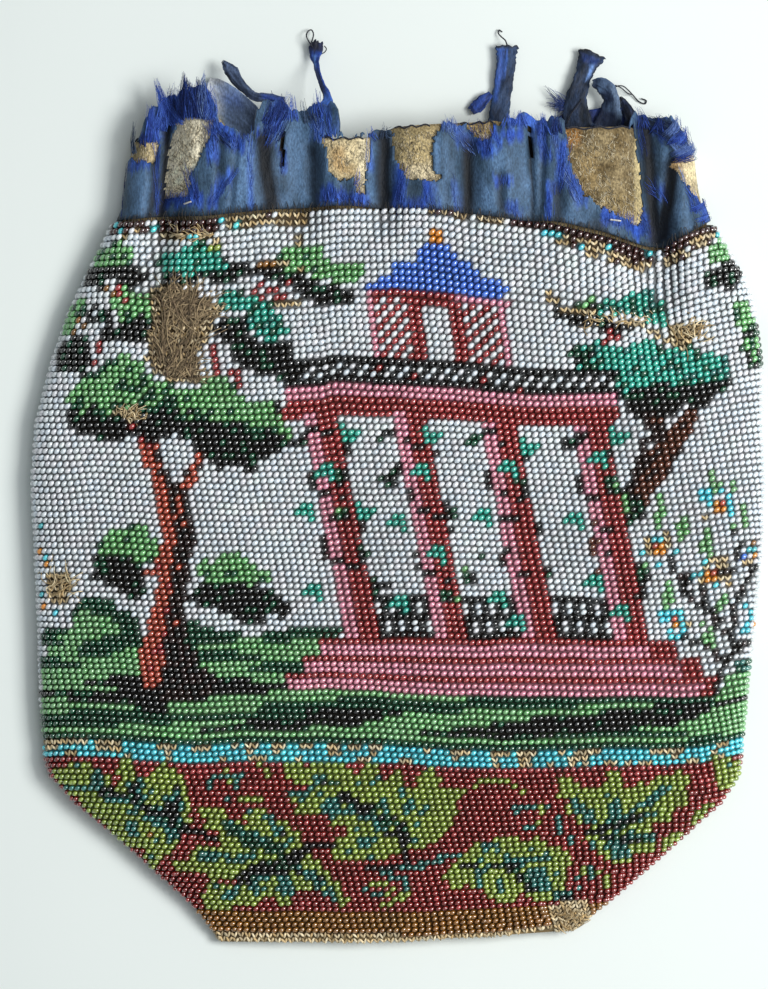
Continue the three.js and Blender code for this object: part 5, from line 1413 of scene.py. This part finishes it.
# Darker and paler colour, the end's colour and where it starts, and streaks: from and to along, across, half width,
# colour. Most streaks are the cloth's own colour; the left tab's black edge streak is painted shadow, and the last pale
# streak of the twisted tab and the blue-white streak of the right tab are painted highlights.
TAB_LOOKS = {
    # The left tab's black streak along its edge is painted shadow.
    "silk_tab_left": ((46, 58, 82), (90, 108, 142), (62, 74, 98), .9, [(.0, .2, .3, .5, (56, 84, 170)), (.35, .75, -.85, .3, (16, 20, 30))]),
    # The twisted tab's last pale streak is a painted highlight.
    "silk_tab_twisted": ((24, 36, 70), (48, 80, 168), (30, 31, 36), .80, [(.0, .3, -.5, .4, (66, 116, 220)), (.24, .34, 0, .8, (76, 124, 220)), (.4, .6, .3, .5, (26, 36, 62)), (.62, .76, -.1, .35, (92, 134, 206))]),
    "silk_tab_centre": ((30, 44, 68), (54, 76, 112), (46, 42, 40), .93, [(.3, .92, -.55, .3, (62, 98, 184)), (.55, .92, -.05, .12, (64, 104, 190))]),
    "silk_tab_centre_tail": ((32, 50, 104), (54, 84, 170), (28, 42, 84), .8, []),
    # The right tab's blue-white streak is a painted highlight.
    "silk_tab_right": ((22, 30, 42), (44, 60, 88), (46, 44, 46), .93, [(.52, .74, .42, .2, (120, 158, 222)), (.74, .86, .1, .6, (40, 62, 120))]),
    "silk_tab_right_loop": ((34, 46, 70), (80, 102, 134), (60, 74, 96), .9, [(.0, .25, 0, 1.2, (18, 26, 52)), (.2, .6, .8, .3, (104, 126, 156))]),
    "silk_flap_right": ((16, 21, 36), (34, 46, 74), (20, 24, 36), .8, []),
}


def centripetal(points, t):
    """A centripetal Catmull-Rom line through points, at shares t of its spans."""
    p = np.asarray(points, float)
    n = len(p)
    out = []
    for s in t:
        at = min(s * (n - 1), n - 1 - 1e-9)
        i, w = int(at), at - int(at)
        p1, p2 = p[i], p[i + 1]
        p0 = p[i - 1] if i > 0 else 2 * p[0] - p[1]
        p3 = p[i + 2] if i + 2 < n else 2 * p[-1] - p[-2]
        d = [max(np.sum((b - a) ** 2) ** .25, 1e-4) for a, b in ((p0, p1), (p1, p2), (p2, p3))]
        t1 = ((p1 - p0) / d[0] - (p2 - p0) / (d[0] + d[1]) + (p2 - p1) / d[1]) * d[1]
        t2 = ((p2 - p1) / d[1] - (p3 - p1) / (d[1] + d[2]) + (p3 - p2) / d[2]) * d[1]
        c2, c3 = -3 * p1 + 3 * p2 - 2 * t1 - t2, 2 * p1 - 2 * p2 + t1 + t2
        out.append(p1 + t1 * w + c2 * w * w + c3 * w ** 3)
    return np.array(out)


def torn_tab(name, rows, material, seed):
    """A folded strip: creased along its length, with worn edges and a torn end."""
    steps, cols, wall = 48, 14, .55
    dark, light, tip, tip_at, streaks = TAB_LOOKS[name]
    t = np.linspace(0, 1, steps + 1)
    line = centripetal([((u - 398) * MM, (492 - v) * MM, z) for u, v, z, _, _ in rows], t)
    k = np.linspace(0, 1, len(rows))
    width, roll = np.interp(t, k, [r[3] * MM for r in rows]), np.radians(np.interp(t, k, [r[4] for r in rows]))
    along = np.gradient(line, axis=0)
    along /= np.linalg.norm(along, axis=1, keepdims=True)
    side = np.cross(along, (0, 0, 1.0))
    side /= np.linalg.norm(side, axis=1, keepdims=True)
    face = np.cross(side, along)
    turned = side * np.cos(roll)[:, None] + face * np.sin(roll)[:, None]
    face = face * np.cos(roll)[:, None] - side * np.sin(roll)[:, None]
    u = np.linspace(-1, 1, cols + 1)
    length = np.linalg.norm(np.diff(line, axis=0), axis=1).sum()
    at = t * length
    edge = .10 * noise_2d(at, at * 0, 1.1, seed) + .06 * noise_2d(at, at * 0, .45, seed + 1)
    grid = []
    for sign in (1, -1):
        rows_out = []
        for j in range(steps + 1):
            wide = width[j] / 2 * (1 + edge[j] * np.sign(u) * (np.abs(u) > .6))
            puff = .16 * (1 - u ** 2) + .2 * noise_2d(u * 2.2, np.full(len(u), at[j] * .5), 1.0, seed + 2) + .1 * noise_2d(u * 4, np.full(len(u), at[j]), 1.2, seed + 3)
            lift = sign * wall / 2 * np.sqrt(np.maximum(.12, 1 - np.abs(u) ** 6)) + puff * (1 if sign > 0 else .6)
            tail = .35 * noise_2d(u * 3, u * 0, .6, seed + 4) * smooth((t[j] - .88) / .12)
            rows_out.append(line[j] + turned[j] * (u * wide)[:, None] + face[j] * lift[:, None] + along[j] * tail[:, None])
        grid.append(np.array(rows_out))
    top, low = grid
    for g in grid:
        g[..., 2] = np.maximum(g[..., 2], .12 if g is low else .45)
    nc = cols + 1
    m = (steps + 1) * nc
    q = lambda o, j, i: o + j * nc + i
    faces = []
    for j in range(steps):
        for i in range(cols):
            faces.append((q(0, j, i), q(0, j, i + 1), q(0, j + 1, i + 1), q(0, j + 1, i)))
            faces.append((q(m, j, i), q(m, j + 1, i), q(m, j + 1, i + 1), q(m, j, i + 1)))
        faces.append((q(0, j, 0), q(0, j + 1, 0), q(m, j + 1, 0), q(m, j, 0)))
        faces.append((q(0, j, cols), q(m, j, cols), q(m, j + 1, cols), q(0, j + 1, cols)))
    for i in range(cols):
        faces.append((q(0, 0, i), q(m, 0, i), q(m, 0, i + 1), q(0, 0, i + 1)))
        faces.append((q(0, steps, i), q(0, steps, i + 1), q(m, steps, i + 1), q(m, steps, i)))
    pts = np.concatenate([top.reshape(-1, 3), low.reshape(-1, 3)])
    uu, tt = np.tile(u, 2 * (steps + 1)), np.tile(np.repeat(at, nc), 2)
    worn = np.clip(.4 + .7 * noise_2d(uu * 1.6, tt * .25, .8, seed + 5) + .4 * noise_2d(uu * 4, tt * .6, .7, seed + 6) + .25 * (np.abs(uu) > .75), 0, 1)
    tint = srgb(*dark) * (1 - worn)[:, None] + srgb(*light) * worn[:, None]
    share = tt / length
    # Streaks: mostly the cloth's own colour, with painted highlights and painted shadow on some tabs.
    for t0, t1, at_u, half, colour in streaks:
        b = smooth((share - t0 + .05) / .08) * smooth((t1 + .05 - share) / .08) * np.clip(1.4 - np.abs(uu - at_u) / half + .6 * noise_2d(uu * 5, tt * .3, .7, seed + 7), 0, 1)
        tint = tint * (1 - .85 * b)[:, None] + srgb(*colour) * (.85 * b)[:, None]
    end = smooth((share - tip_at) / .07)[:, None]
    tint = tint * (1 - .8 * end) + srgb(*tip) * .8 * end
    ob = mesh_piece(name + "_cloth", pts, halves(np.array(faces)), material, tint)
    return ob


# ------------------------------------------------------- bare stitches and threads
def bare_stitches(bare, material):
    for side, centre, normal, row, col, rr, cc in bare:
        pts, faces, tints = [], [], []
        base = 0
        template = ring_bead()
        for leg, salt in ((-1, 400), (1, 440)):
            turn = np.radians(leg * 58 + 26 * (chance(rr, cc, salt) - .5) + 8)
            a = row * np.cos(turn)[:, None] + col * np.sin(turn)[:, None]
            b = -row * np.sin(turn)[:, None] + col * np.cos(turn)[:, None]
            at = centre + row * (leg * .36) - normal * (.10 + .25 * chance(rr, cc, salt + 1))[:, None] + col * (.2 * (chance(rr, cc, salt + 2) - .5))[:, None]
            if side == "back":
                at[:, 2] = np.maximum(at[:, 2], .42)
            size = np.stack([.66 + .3 * chance(rr, cc, salt + 3), .28 + .09 * chance(rr, cc, salt + 4), .34 + 0 * rr], -1)
            p, f, _ = scatter(template, at, (a, b, normal), size)
            shade = (.5 + .7 * chance(rr, cc, salt + 5))[:, None]
            warm = chance(rr, cc, salt + 6)[:, None]
            t = (srgb(242, 228, 194) * (1 - warm) + srgb(208, 178, 126) * warm) * shade
            pts.append(p)
            faces.append(f + base)
            base += len(p)
            tints.append(np.repeat(t, len(template[0]), 0))
        ob = mesh_piece(f"bare_stitches_{side}", np.concatenate(pts), np.concatenate(faces), material, np.clip(np.concatenate(tints), 0, 1))


def fan(rng, count, u, v, du, dv, length, angle, spread, bow, lift, k=5):
    """Lines of k plan points that start in a plan box and run at an angle (degrees, 90 is up)."""
    a = np.radians(angle + spread * rng.normal(size=count))
    n = length * (.55 + .6 * rng.random(count))
    t = np.linspace(0, 1, k)[None, :]
    u0, v0 = u + du * (rng.random(count) - .5), v + dv * (rng.random(count) - .5)
    side = bow * rng.normal(size=count)
    uu = u0[:, None] + n[:, None] * t * np.cos(a)[:, None] - (side[:, None] * np.sin(math.pi * t)) * np.sin(a)[:, None]
    vv = v0[:, None] - n[:, None] * t * np.sin(a)[:, None] - (side[:, None] * np.sin(math.pi * t)) * np.cos(a)[:, None]
    return uu, vv, lift * (.3 + rng.random(count))[:, None] * np.sin(math.pi * np.clip(t * .8 + .1, 0, 1))


def lost_patch(material):
    """Loose ends of knitting thread where the beads are gone."""
    rng = np.random.default_rng(7)
    lines, pale = [], []
    spots = [(178, 300, 36, 18, 26, 90, 60), (180, 330, 44, 30, 34, 96, 40), (176, 358, 40, 26, 30, 84, 36), (186, 312, 50, 24, 24, 20, 30), (182, 374, 36, 14, 20, 60, 50),
             (686, 333, 26, 20, 20, 40, 50), (128, 415, 18, 14, 13, 60, 70), (58, 588, 24, 26, 18, 30, 70), (620, 322, 70, 8, 16, 160, 40), (570, 920, 28, 16, 14, 20, 60),
             (196, 236, 40, 8, 14, 160, 25)]
    for k, (u, v, du, dv, n, ang, sp) in enumerate(spots):
        uu, vv, up = fan(rng, 70 if k < 5 else 34, u, v, du, dv, n, ang, sp, 3.0, .7)
        x, y = (uu - 398) * MM, (492 - vv) * MM
        p, nn = outer(np.ones(x.shape, bool), share_of(x, y), y)
        lines.append(p - nn * (.75 - up)[..., None])
        pale += [0.0 if k < 5 else 1.0] * len(uu)
    lines = np.concatenate(lines)
    n = len(lines)
    w, pale = rng.random((n, 1)), np.array(pale)[:, None]
    grey = srgb(118, 100, 80) * (1 - w) + srgb(186, 164, 128) * w
    cream = srgb(182, 150, 98) * (1 - w) + srgb(244, 226, 186) * w
    tint = (grey * (1 - pale) + cream * pale) * (.6 + .6 * rng.random((n, 1)))
    ob = fibres("loose_knitting_threads", lines, .13 + .06 * rng.random(n), material, np.clip(tint, 0, 1))
    return ob


def spike(rng, count, u0, u1, v, tip_u, tip_v, bow, k=6):
    """Strands that start along a root and draw together to a point."""
    t = np.linspace(0, 1, k)[None, :]
    root = u0 + (u1 - u0) * rng.random(count)
    reach = (.45 + .6 * rng.random(count))[:, None]
    du, dv = (tip_u - root)[:, None] + 1.6 * rng.normal(size=(count, 1)), tip_v - v
    lean = bow * (1 + .5 * rng.normal(size=count))[:, None]
    uu = root[:, None] + du * t * reach + lean * np.sin(math.pi * t)
    vv = v + 5 * rng.random(count)[:, None] + dv * t * reach
    return uu, vv, .4 * rng.random(count)[:, None] + .5 * np.sin(math.pi * t * .8)


def silk_fray(material):
    """Broken silk threads: in the worn places, over the windows' edges and along the torn top."""
    rng = np.random.default_rng(11)
    groups = {}
    inks = {"navy": (srgb(20, 32, 76), srgb(48, 78, 164)), "blue": (srgb(40, 66, 160), srgb(84, 124, 220)), "pale": (srgb(66, 96, 170), srgb(128, 158, 218)),
            "slate": (srgb(44, 58, 82), srgb(84, 106, 140))}

    def add(uu, vv, up, ink, radius):
        p = silk_face(uu, vv, up)
        n = len(uu)
        w = rng.random((n, 1)) ** 1.2
        low, high = inks[ink]
        groups.setdefault(p.shape[1], []).append((p, np.clip((low * (1 - w) + high * w) * (.8 + .4 * rng.random((n, 1))), 0, 1), radius * (.7 + .6 * rng.random(n))))
    for u0, v0, u1, v1, half, strength in WORN:
        reach = math.hypot(u1 - u0, v1 - v0)
        n = int(min(46, 4 + .10 * (reach + 2 * half) * half))
        t = rng.random(n)
        upright = abs(v1 - v0) > abs(u1 - u0)
        lean = math.degrees(math.atan2(-(v1 - v0), u1 - u0)) if upright else 90
        lean = lean + 180 if lean < 0 else lean
        length = min(20, 7 + .35 * (reach if upright else 3 * half))
        uu, vv, up = fan(rng, n, 0, 0, 0, 0, length, lean, 6, .8, .25)
        uu += (u0 + (u1 - u0) * t + half * rng.normal(size=n) * .6)[:, None]
        vv += (v0 + (v1 - v0) * t + half * rng.normal(size=n) * .4 + length * .4)[:, None]
        add(uu, vv, up, ("blue", "blue", "pale", "navy")[int(rng.integers(4))], .05)
    # The torn top stands up in points.
    for u0, u1, v, tu, tv, bow, n, ink in ((163, 181, 120, 156, 78, -2, 101, "blue"), (170, 182, 116, 170, 83, -3, 30, "navy"),
                                           (176, 192, 114, 183, 72, 0, 96, "navy"), (184, 200, 114, 189, 80, 0, 74, "navy"),
                                           (190, 206, 114, 198, 76, 1, 83, "navy"), (200, 213, 116, 204, 71, -4, 57, "pale"),
                                           (180, 200, 116, 184, 76, 2, 39, "blue"), (143, 160, 138, 151, 104, 0, 88, "blue"),
                                           (127, 134, 150, 130, 116, 0, 19, "slate"), (150, 166, 126, 162, 98, 2, 66, "blue"),
                                           (134, 146, 142, 143, 128, 0, 26, "navy"), (203, 215, 118, 206, 82, 4, 44, "blue"),
                                           (262, 272, 122, 272, 92, 3, 22, "navy"), (270, 290, 118, 284, 94, 3, 42, "navy"),
                                           (282, 300, 118, 292, 94, 0, 22, "blue"), (300, 312, 120, 303, 98, 0, 14, "slate"),
                                           (308, 316, 120, 310, 100, 0, 11, "slate"), (312, 322, 114, 315, 88, 0, 19, "blue"),
                                           (372, 380, 138, 372, 124, -2, 8, "blue"), (380, 388, 136, 385, 122, 0, 14, "slate"),
                                           (386, 394, 134, 390, 122, -4, 4, "slate"), (500, 512, 126, 508, 112, 0, 16, "blue"),
                                           (512, 530, 124, 520, 110, 0, 28, "blue"), (536, 550, 132, 541, 112, 0, 33, "blue"),
                                           (548, 562, 132, 556, 112, 0, 28, "navy"), (640, 652, 124, 643, 106, 0, 30, "navy"),
                                           (650, 664, 128, 660, 112, 0, 33, "navy"), (660, 676, 132, 678, 114, 4, 50, "pale"),
                                           (664, 684, 140, 688, 124, 4, 56, "blue"), (668, 690, 152, 697, 138, 5, 61, "pale"),
                                           (670, 690, 158, 699, 146, 5, 28, "navy"), (690, 700, 206, 712, 196, 2, 19, "blue"),
                                           (697, 706, 218, 716, 208, 2, 14, "blue")):
        uu, vv, up = spike(rng, n, u0, u1, v, tu, tv, bow)
        add(uu, vv, up, ink, .07)
    # Straight fringes and strands lying over the leather.
    for u, v, du, dv, n, length, ang, sp, ink in ((450, 132, 15, 6, 40, 13, 90, 3, "pale"), (476, 136, 14, 8, 20, 14, 96, 8, "navy"), (190, 192, 10, 8, 14, 26, 108, 5, "blue"),
                                                  (196, 196, 6, 8, 12, 26, 100, 5, "navy"), (182, 200, 34, 4, 40, 8, 90, 8, "blue"), (345, 204, 44, 6, 40, 14, 100, 14, "blue"),
                                                  (357, 190, 6, 14, 10, 18, 80, 8, "blue"), (274, 136, 20, 18, 44, 30, 70, 6, "navy"), (272, 128, 18, 16, 20, 28, 68, 6, "blue"),
                                                  (220, 136, 12, 14, 24, 20, 116, 10, "blue"), (562, 172, 8, 34, 30, 22, 84, 6, "blue"), (574, 194, 10, 18, 20, 16, 110, 8, "blue"),
                                                  (622, 226, 36, 8, 34, 13, 92, 12, "blue"), (700, 204, 12, 18, 20, 16, 118, 10, "blue"), (483, 152, 14, 8, 24, 16, 90, 8, "blue"),
                                                  (396, 204, 10, 14, 30, 26, 76, 5, "blue"), (410, 214, 26, 4, 16, 9, 90, 14, "blue"), (236, 148, 10, 8, 16, 14, 84, 10, "blue"),
                                                  (655, 118, 28, 8, 60, 42, -32, 6, "slate"), (660, 123, 24, 8, 50, 38, -37, 6, "navy"), (664, 128, 22, 10, 44, 34, -41, 7, "slate"),
                                                  (672, 136, 20, 8, 34, 26, -40, 7, "pale"), (190, 108, 34, 8, 90, 22, 92, 9, "blue"), (192, 106, 30, 8, 50, 20, 90, 9, "pale"),
                                                  (176, 110, 16, 10, 40, 20, 104, 8, "blue"), (240, 142, 22, 4, 30, 10, 96, 14, "blue")):
        uu, vv, up = fan(rng, n, u, v, du, dv, length, ang, sp, 1.2, .35)
        add(uu, vv, up, ink, .05)
    out = []
    for k, (count, parts) in enumerate(sorted(groups.items())):
        ob = fibres(f"silk_fray_{k}", np.concatenate([q[0] for q in parts]), np.concatenate([q[2] for q in parts]), material, np.concatenate([q[1] for q in parts]))
        out.append(ob)
    # A feathered end beside the right-hand tab, lying near the table.
    lines = []
    for tu, tv, n in ((547, 82, 16), (556, 84, 12), (546, 96, 14), (549, 102, 16), (556, 108, 12)):
        uu, vv, up = spike(rng, n, 560, 572, 106, tu, tv, 0)
        vv -= 12 * rng.random(n)[:, None] * (1 - np.linspace(0, 1, 6))[None, :]
        lines.append(np.stack([(uu - 398) * MM, (492 - vv) * MM, 1.0 + 1.6 * up], -1))
    lines = np.concatenate(lines)
    w = rng.random((len(lines), 1))
    ob = fibres("silk_fray_tab", lines, .055 + .03 * rng.random(len(lines)), material, srgb(22, 34, 62) * (1 - w) + srgb(62, 86, 160) * w)
    return out + [ob]


def suede_nap(material):
    """Short raised fibres of the leather in the worn windows."""
    rng = np.random.default_rng(23)
    lines = []
    for k, rows in enumerate(WINDOWS):
        h = np.array([r[0] for r in rows], float)
        count = (50, 340, 230, 260, 60, 720, 100)[k]
        v = h[0] + 4 + (h[-1] - h[0] - 4) * rng.random(count)
        left, right = np.interp(v, h, [r[1] for r in rows]), np.interp(v, h, [r[2] for r in rows])
        u = left + (right - left) * rng.random(count)
        uu, vv, up = fan(rng, count, 0, 0, 0, 0, 6, -70, 40, .8, .12, k=3)
        lines.append(silk_face(uu + u[:, None], vv + v[:, None], -.50 + up))
    lines = np.concatenate(lines)
    w = rng.random((len(lines), 1))
    ob = fibres("suede_nap", lines, .05 + .03 * rng.random(len(lines)), material, srgb(84, 64, 34) * (1 - w) + srgb(250, 238, 206) * w)
    return ob


def thread_tube(points, radius, sides=6, per_span=6):
    """Vertices and triangles of a round closed thread through points in mm."""
    line = centripetal(points, np.linspace(0, 1, (len(points) - 1) * per_span + 1))
    along = np.gradient(line, axis=0)
    along /= np.maximum(np.linalg.norm(along, axis=1, keepdims=True), 1e-9)
    ref = np.cross(along, (0.1, .2, 1.0))
    ref /= np.maximum(np.linalg.norm(ref, axis=1, keepdims=True), 1e-9)
    other = np.cross(along, ref)
    ang = np.linspace(0, 2 * math.pi, sides, endpoint=False)
    pts = line[:, None, :] + radius * (ref[:, None, :] * np.cos(ang)[None, :, None] + other[:, None, :] * np.sin(ang)[None, :, None])
    k = len(line)
    quads = np.concatenate([band_faces(j * sides, (j + 1) * sides, sides, True) for j in range(k - 1)])
    ends = np.array([(0, i, i + 1) for i in range(1, sides - 1)] + [((k - 1) * sides, (k - 1) * sides + i + 1, (k - 1) * sides + i) for i in range(1, sides - 1)])
    return pts.reshape(-1, 3), np.concatenate([halves(quads), ends])


def plan_line(*places):
    return [((u - 398) * MM, (492 - v) * MM, z) for u, v, z in places]


def sewing(material):
    """Dark sewing thread: loops and curls at the torn ends, the leather's edging, and white basting stitches."""
    dark, pale = srgb(40, 42, 52), srgb(214, 212, 206)
    threads = [
        (dark, .16, plan_line((313, 46, 2.4), (309, 40, 2.6), (306, 33, 2.0), (308, 28, 1.2), (311, 27, 1.0), (313, 31, 1.4), (312, 37, 2.2), (310, 43, 2.8))),
        (dark, .17, plan_line((508, 44, 2.6), (506, 38, 2.2), (502, 34, 1.4), (499, 30, .8), (500, 27, .6), (503, 29, .7))),
        (dark, .16, plan_line((612, 90, 5.2), (617, 85, 4.2), (624, 84, 2.6), (630, 88, 1.4), (635, 93, .8), (641, 99, .5), (647, 101, .4), (648, 98, .4), (643, 96, .6))),
        (dark, .15, plan_line((616, 84, 5.0), (622, 86, 3.6), (629, 91, 2.0), (634, 92, 1.0))),
        (dark, .14, plan_line((568, 122, 3.0), (572, 112, 3.2), (578, 104, 3.4), (583, 97, 3.2))),
        (dark, .13, plan_line((320, 52, 2.6), (324, 50, 2.2), (326, 46, 1.2), (324, 43, .7))),
    ]
    # Edging thread along the leather's upper edge where it shows.
    for u0, u1, v in ((322, 366, 141), (392, 430, 128), (462, 492, 122), (566, 634, 129), (130, 156, 141)):
        pts = []
        for k, u in enumerate(np.linspace(u0, u1, 9)):
            x = (u - 398) * MM
            y = np.interp(x, LEATHER_TOP[:, 0], LEATHER_TOP[:, 1])
            q, n = outer(np.array([True]), share_of(np.array([x]), np.array([y])), np.array([y]))
            q = q[0] - n[0] * 1.3
            pts.append((q[0], q[1] + .1 + .3 * math.sin(k * 2.1), q[2] + .1))
        threads.append((dark, .2, pts))
    for places in (((182, 205), (190, 203)), ((610, 221), (622, 222))):
        p = silk_face(np.array([q[0] for q in places]), np.array([q[1] for q in places]), np.array([.25, .25]))
        mid = p.mean(0) + (0, 0, .2)
        threads.append((pale, .2, [tuple(p[0]), tuple(mid), tuple(p[1])]))
    pts, faces, tints, base = [], [], [], 0
    for colour, radius, line in threads:
        p, f = thread_tube(line, radius)
        pts.append(p)
        faces.append(f + base)
        tints.append(np.repeat(colour[None], len(p), 0))
        base += len(p)
    # A row of sewing along the silk's lower edge: short dark stitches over the rim.
    rng = np.random.default_rng(5)
    ob = mesh_piece("sewing_threads", np.concatenate(pts), np.concatenate(faces), material, np.concatenate(tints))
    x = np.arange(-66, 74, .8)
    n = len(x)
    y = rim_at(x)
    t = np.linspace(0, 1, 4)[None, :]
    lx = x[:, None] + (rng.normal(size=n) * .5)[:, None] * t
    ly = y[:, None] - rim_drop(x)[:, None] - .8 + (2.0 + .8 * rng.random(n))[:, None] * t
    p, nn = outer(np.ones(lx.shape, bool), share_of(lx, ly), ly)
    lines = p - nn * (.9 - .5 * np.sin(math.pi * t))[..., None]
    w = rng.random((n, 1))
    ob2 = fibres("rim_sewing", lines, .12 + .05 * rng.random(n), material, srgb(34, 38, 46) * (1 - w) + srgb(78, 70, 60) * w)
    return ob, ob2


# ------------------------------------------------------------------ stage and light
def stage():
    me = bpy.data.meshes.new("floor")
    me.from_pydata([(-3, -3, 0), (3, -3, 0), (3, 3, 0), (-3, 3, 0)], [], [(0, 1, 2, 3)])
    floor = bpy.data.objects.new("floor", me)
    bpy.context.scene.collection.objects.link(floor)
    m, nt, b = new_material("pale_floor", Roughness=.7)
    co = node(nt, "ShaderNodeTexCoord")
    no = node(nt, "ShaderNodeTexNoise")
    no.inputs["Scale"].default_value = 9
    ramp = node(nt, "ShaderNodeValToRGB")
    ramp.color_ramp.elements[0].color = (*srgb(228, 236, 234), 1)
    ramp.color_ramp.elements[1].color = (*srgb(236, 243, 240), 1)
    nt.links.new(co.outputs["Object"], no.inputs["Vector"])
    nt.links.new(no.outputs["Fac"], ramp.inputs["Fac"])
    nt.links.new(ramp.outputs["Color"], b.inputs["Base Color"])
    me.materials.append(m)
    floor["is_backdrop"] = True
    world = bpy.data.worlds.new("soft_room")
    bpy.context.scene.world = world
    world.use_nodes = True
    bg = world.node_tree.nodes["Background"]
    bg.inputs["Color"].default_value = (.91, .96, 1.0, 1)
    bg.inputs["Strength"].default_value = WORLD

    def area(name, at, size, power, colour):
        light = bpy.data.lights.new(name, "AREA")
        light.shape = "RECTANGLE"
        light.size, light.size_y = size
        light.energy = power
        light.color = colour
        ob = bpy.data.objects.new(name, light)
        bpy.context.scene.collection.objects.link(ob)
        ob.location = at
        ob.rotation_euler = Vector(-np.array(at)).to_track_quat("-Z", "Y").to_euler()
    area("window", (.60, .06, .70), (.42, .36), KEY, (1, .99, .965))
    area("room", (.42, .02, 1.0), (1.0, .9), FILL, (.96, .985, 1))
    cam = bpy.data.cameras.new("camera")
    ob = bpy.data.objects.new("camera", cam)
    bpy.context.scene.collection.objects.link(ob)
    height = 1.25
    cam.sensor_width = 36
    cam.lens = 36 * height / (989 * MM * .001)
    ob.location = ((384 - 398) * MM * .001, (492 - 494.5) * MM * .001 - MIDDLE_Y * .001, .009 + height)
    cam.clip_start, cam.clip_end = .05, 20
    bpy.context.scene.camera = ob
    bpy.context.scene.view_settings.view_transform = "Standard"


WORLD, KEY, FILL = .25, 7.3, 3.75

# ------------------------------------------------------------------------- making
stage()
thread = cloth_material("knitting_thread", .85, 900, .3, .0)
fluff = cloth_material("thread_fluff", .85, 2500, .3, .2)
bare, bead_places, bead_colours = place_beads()
ground_piece = knitted_ground(thread, bead_places, bead_colours)
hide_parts("beaded_body")
bare_stitches(bare, fluff)
lost_patch(fluff)
silk = cloth_material("worn_silk", .6, 2600, .4, .05, .55, 1.3)
suede = cloth_material("suede", .95, 2200, .9, .06, .34, 1.42, .7)
silk_piece = silk_band(silk)
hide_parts("silk_band")
leather_piece = leather_band(suede)
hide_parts("leather_band")
for k, (name, rows) in enumerate(TABS.items()):
    ob = torn_tab(name, rows, silk, 600 + 20 * k)
    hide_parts(name)
fray = silk_fray(silk)
nap = suede_nap(suede)
sewn = sewing(fluff)

low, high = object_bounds()
{"cad": [list(cad_box[0]), list(cad_box[1])], "visual": [list(low), list(high)]}
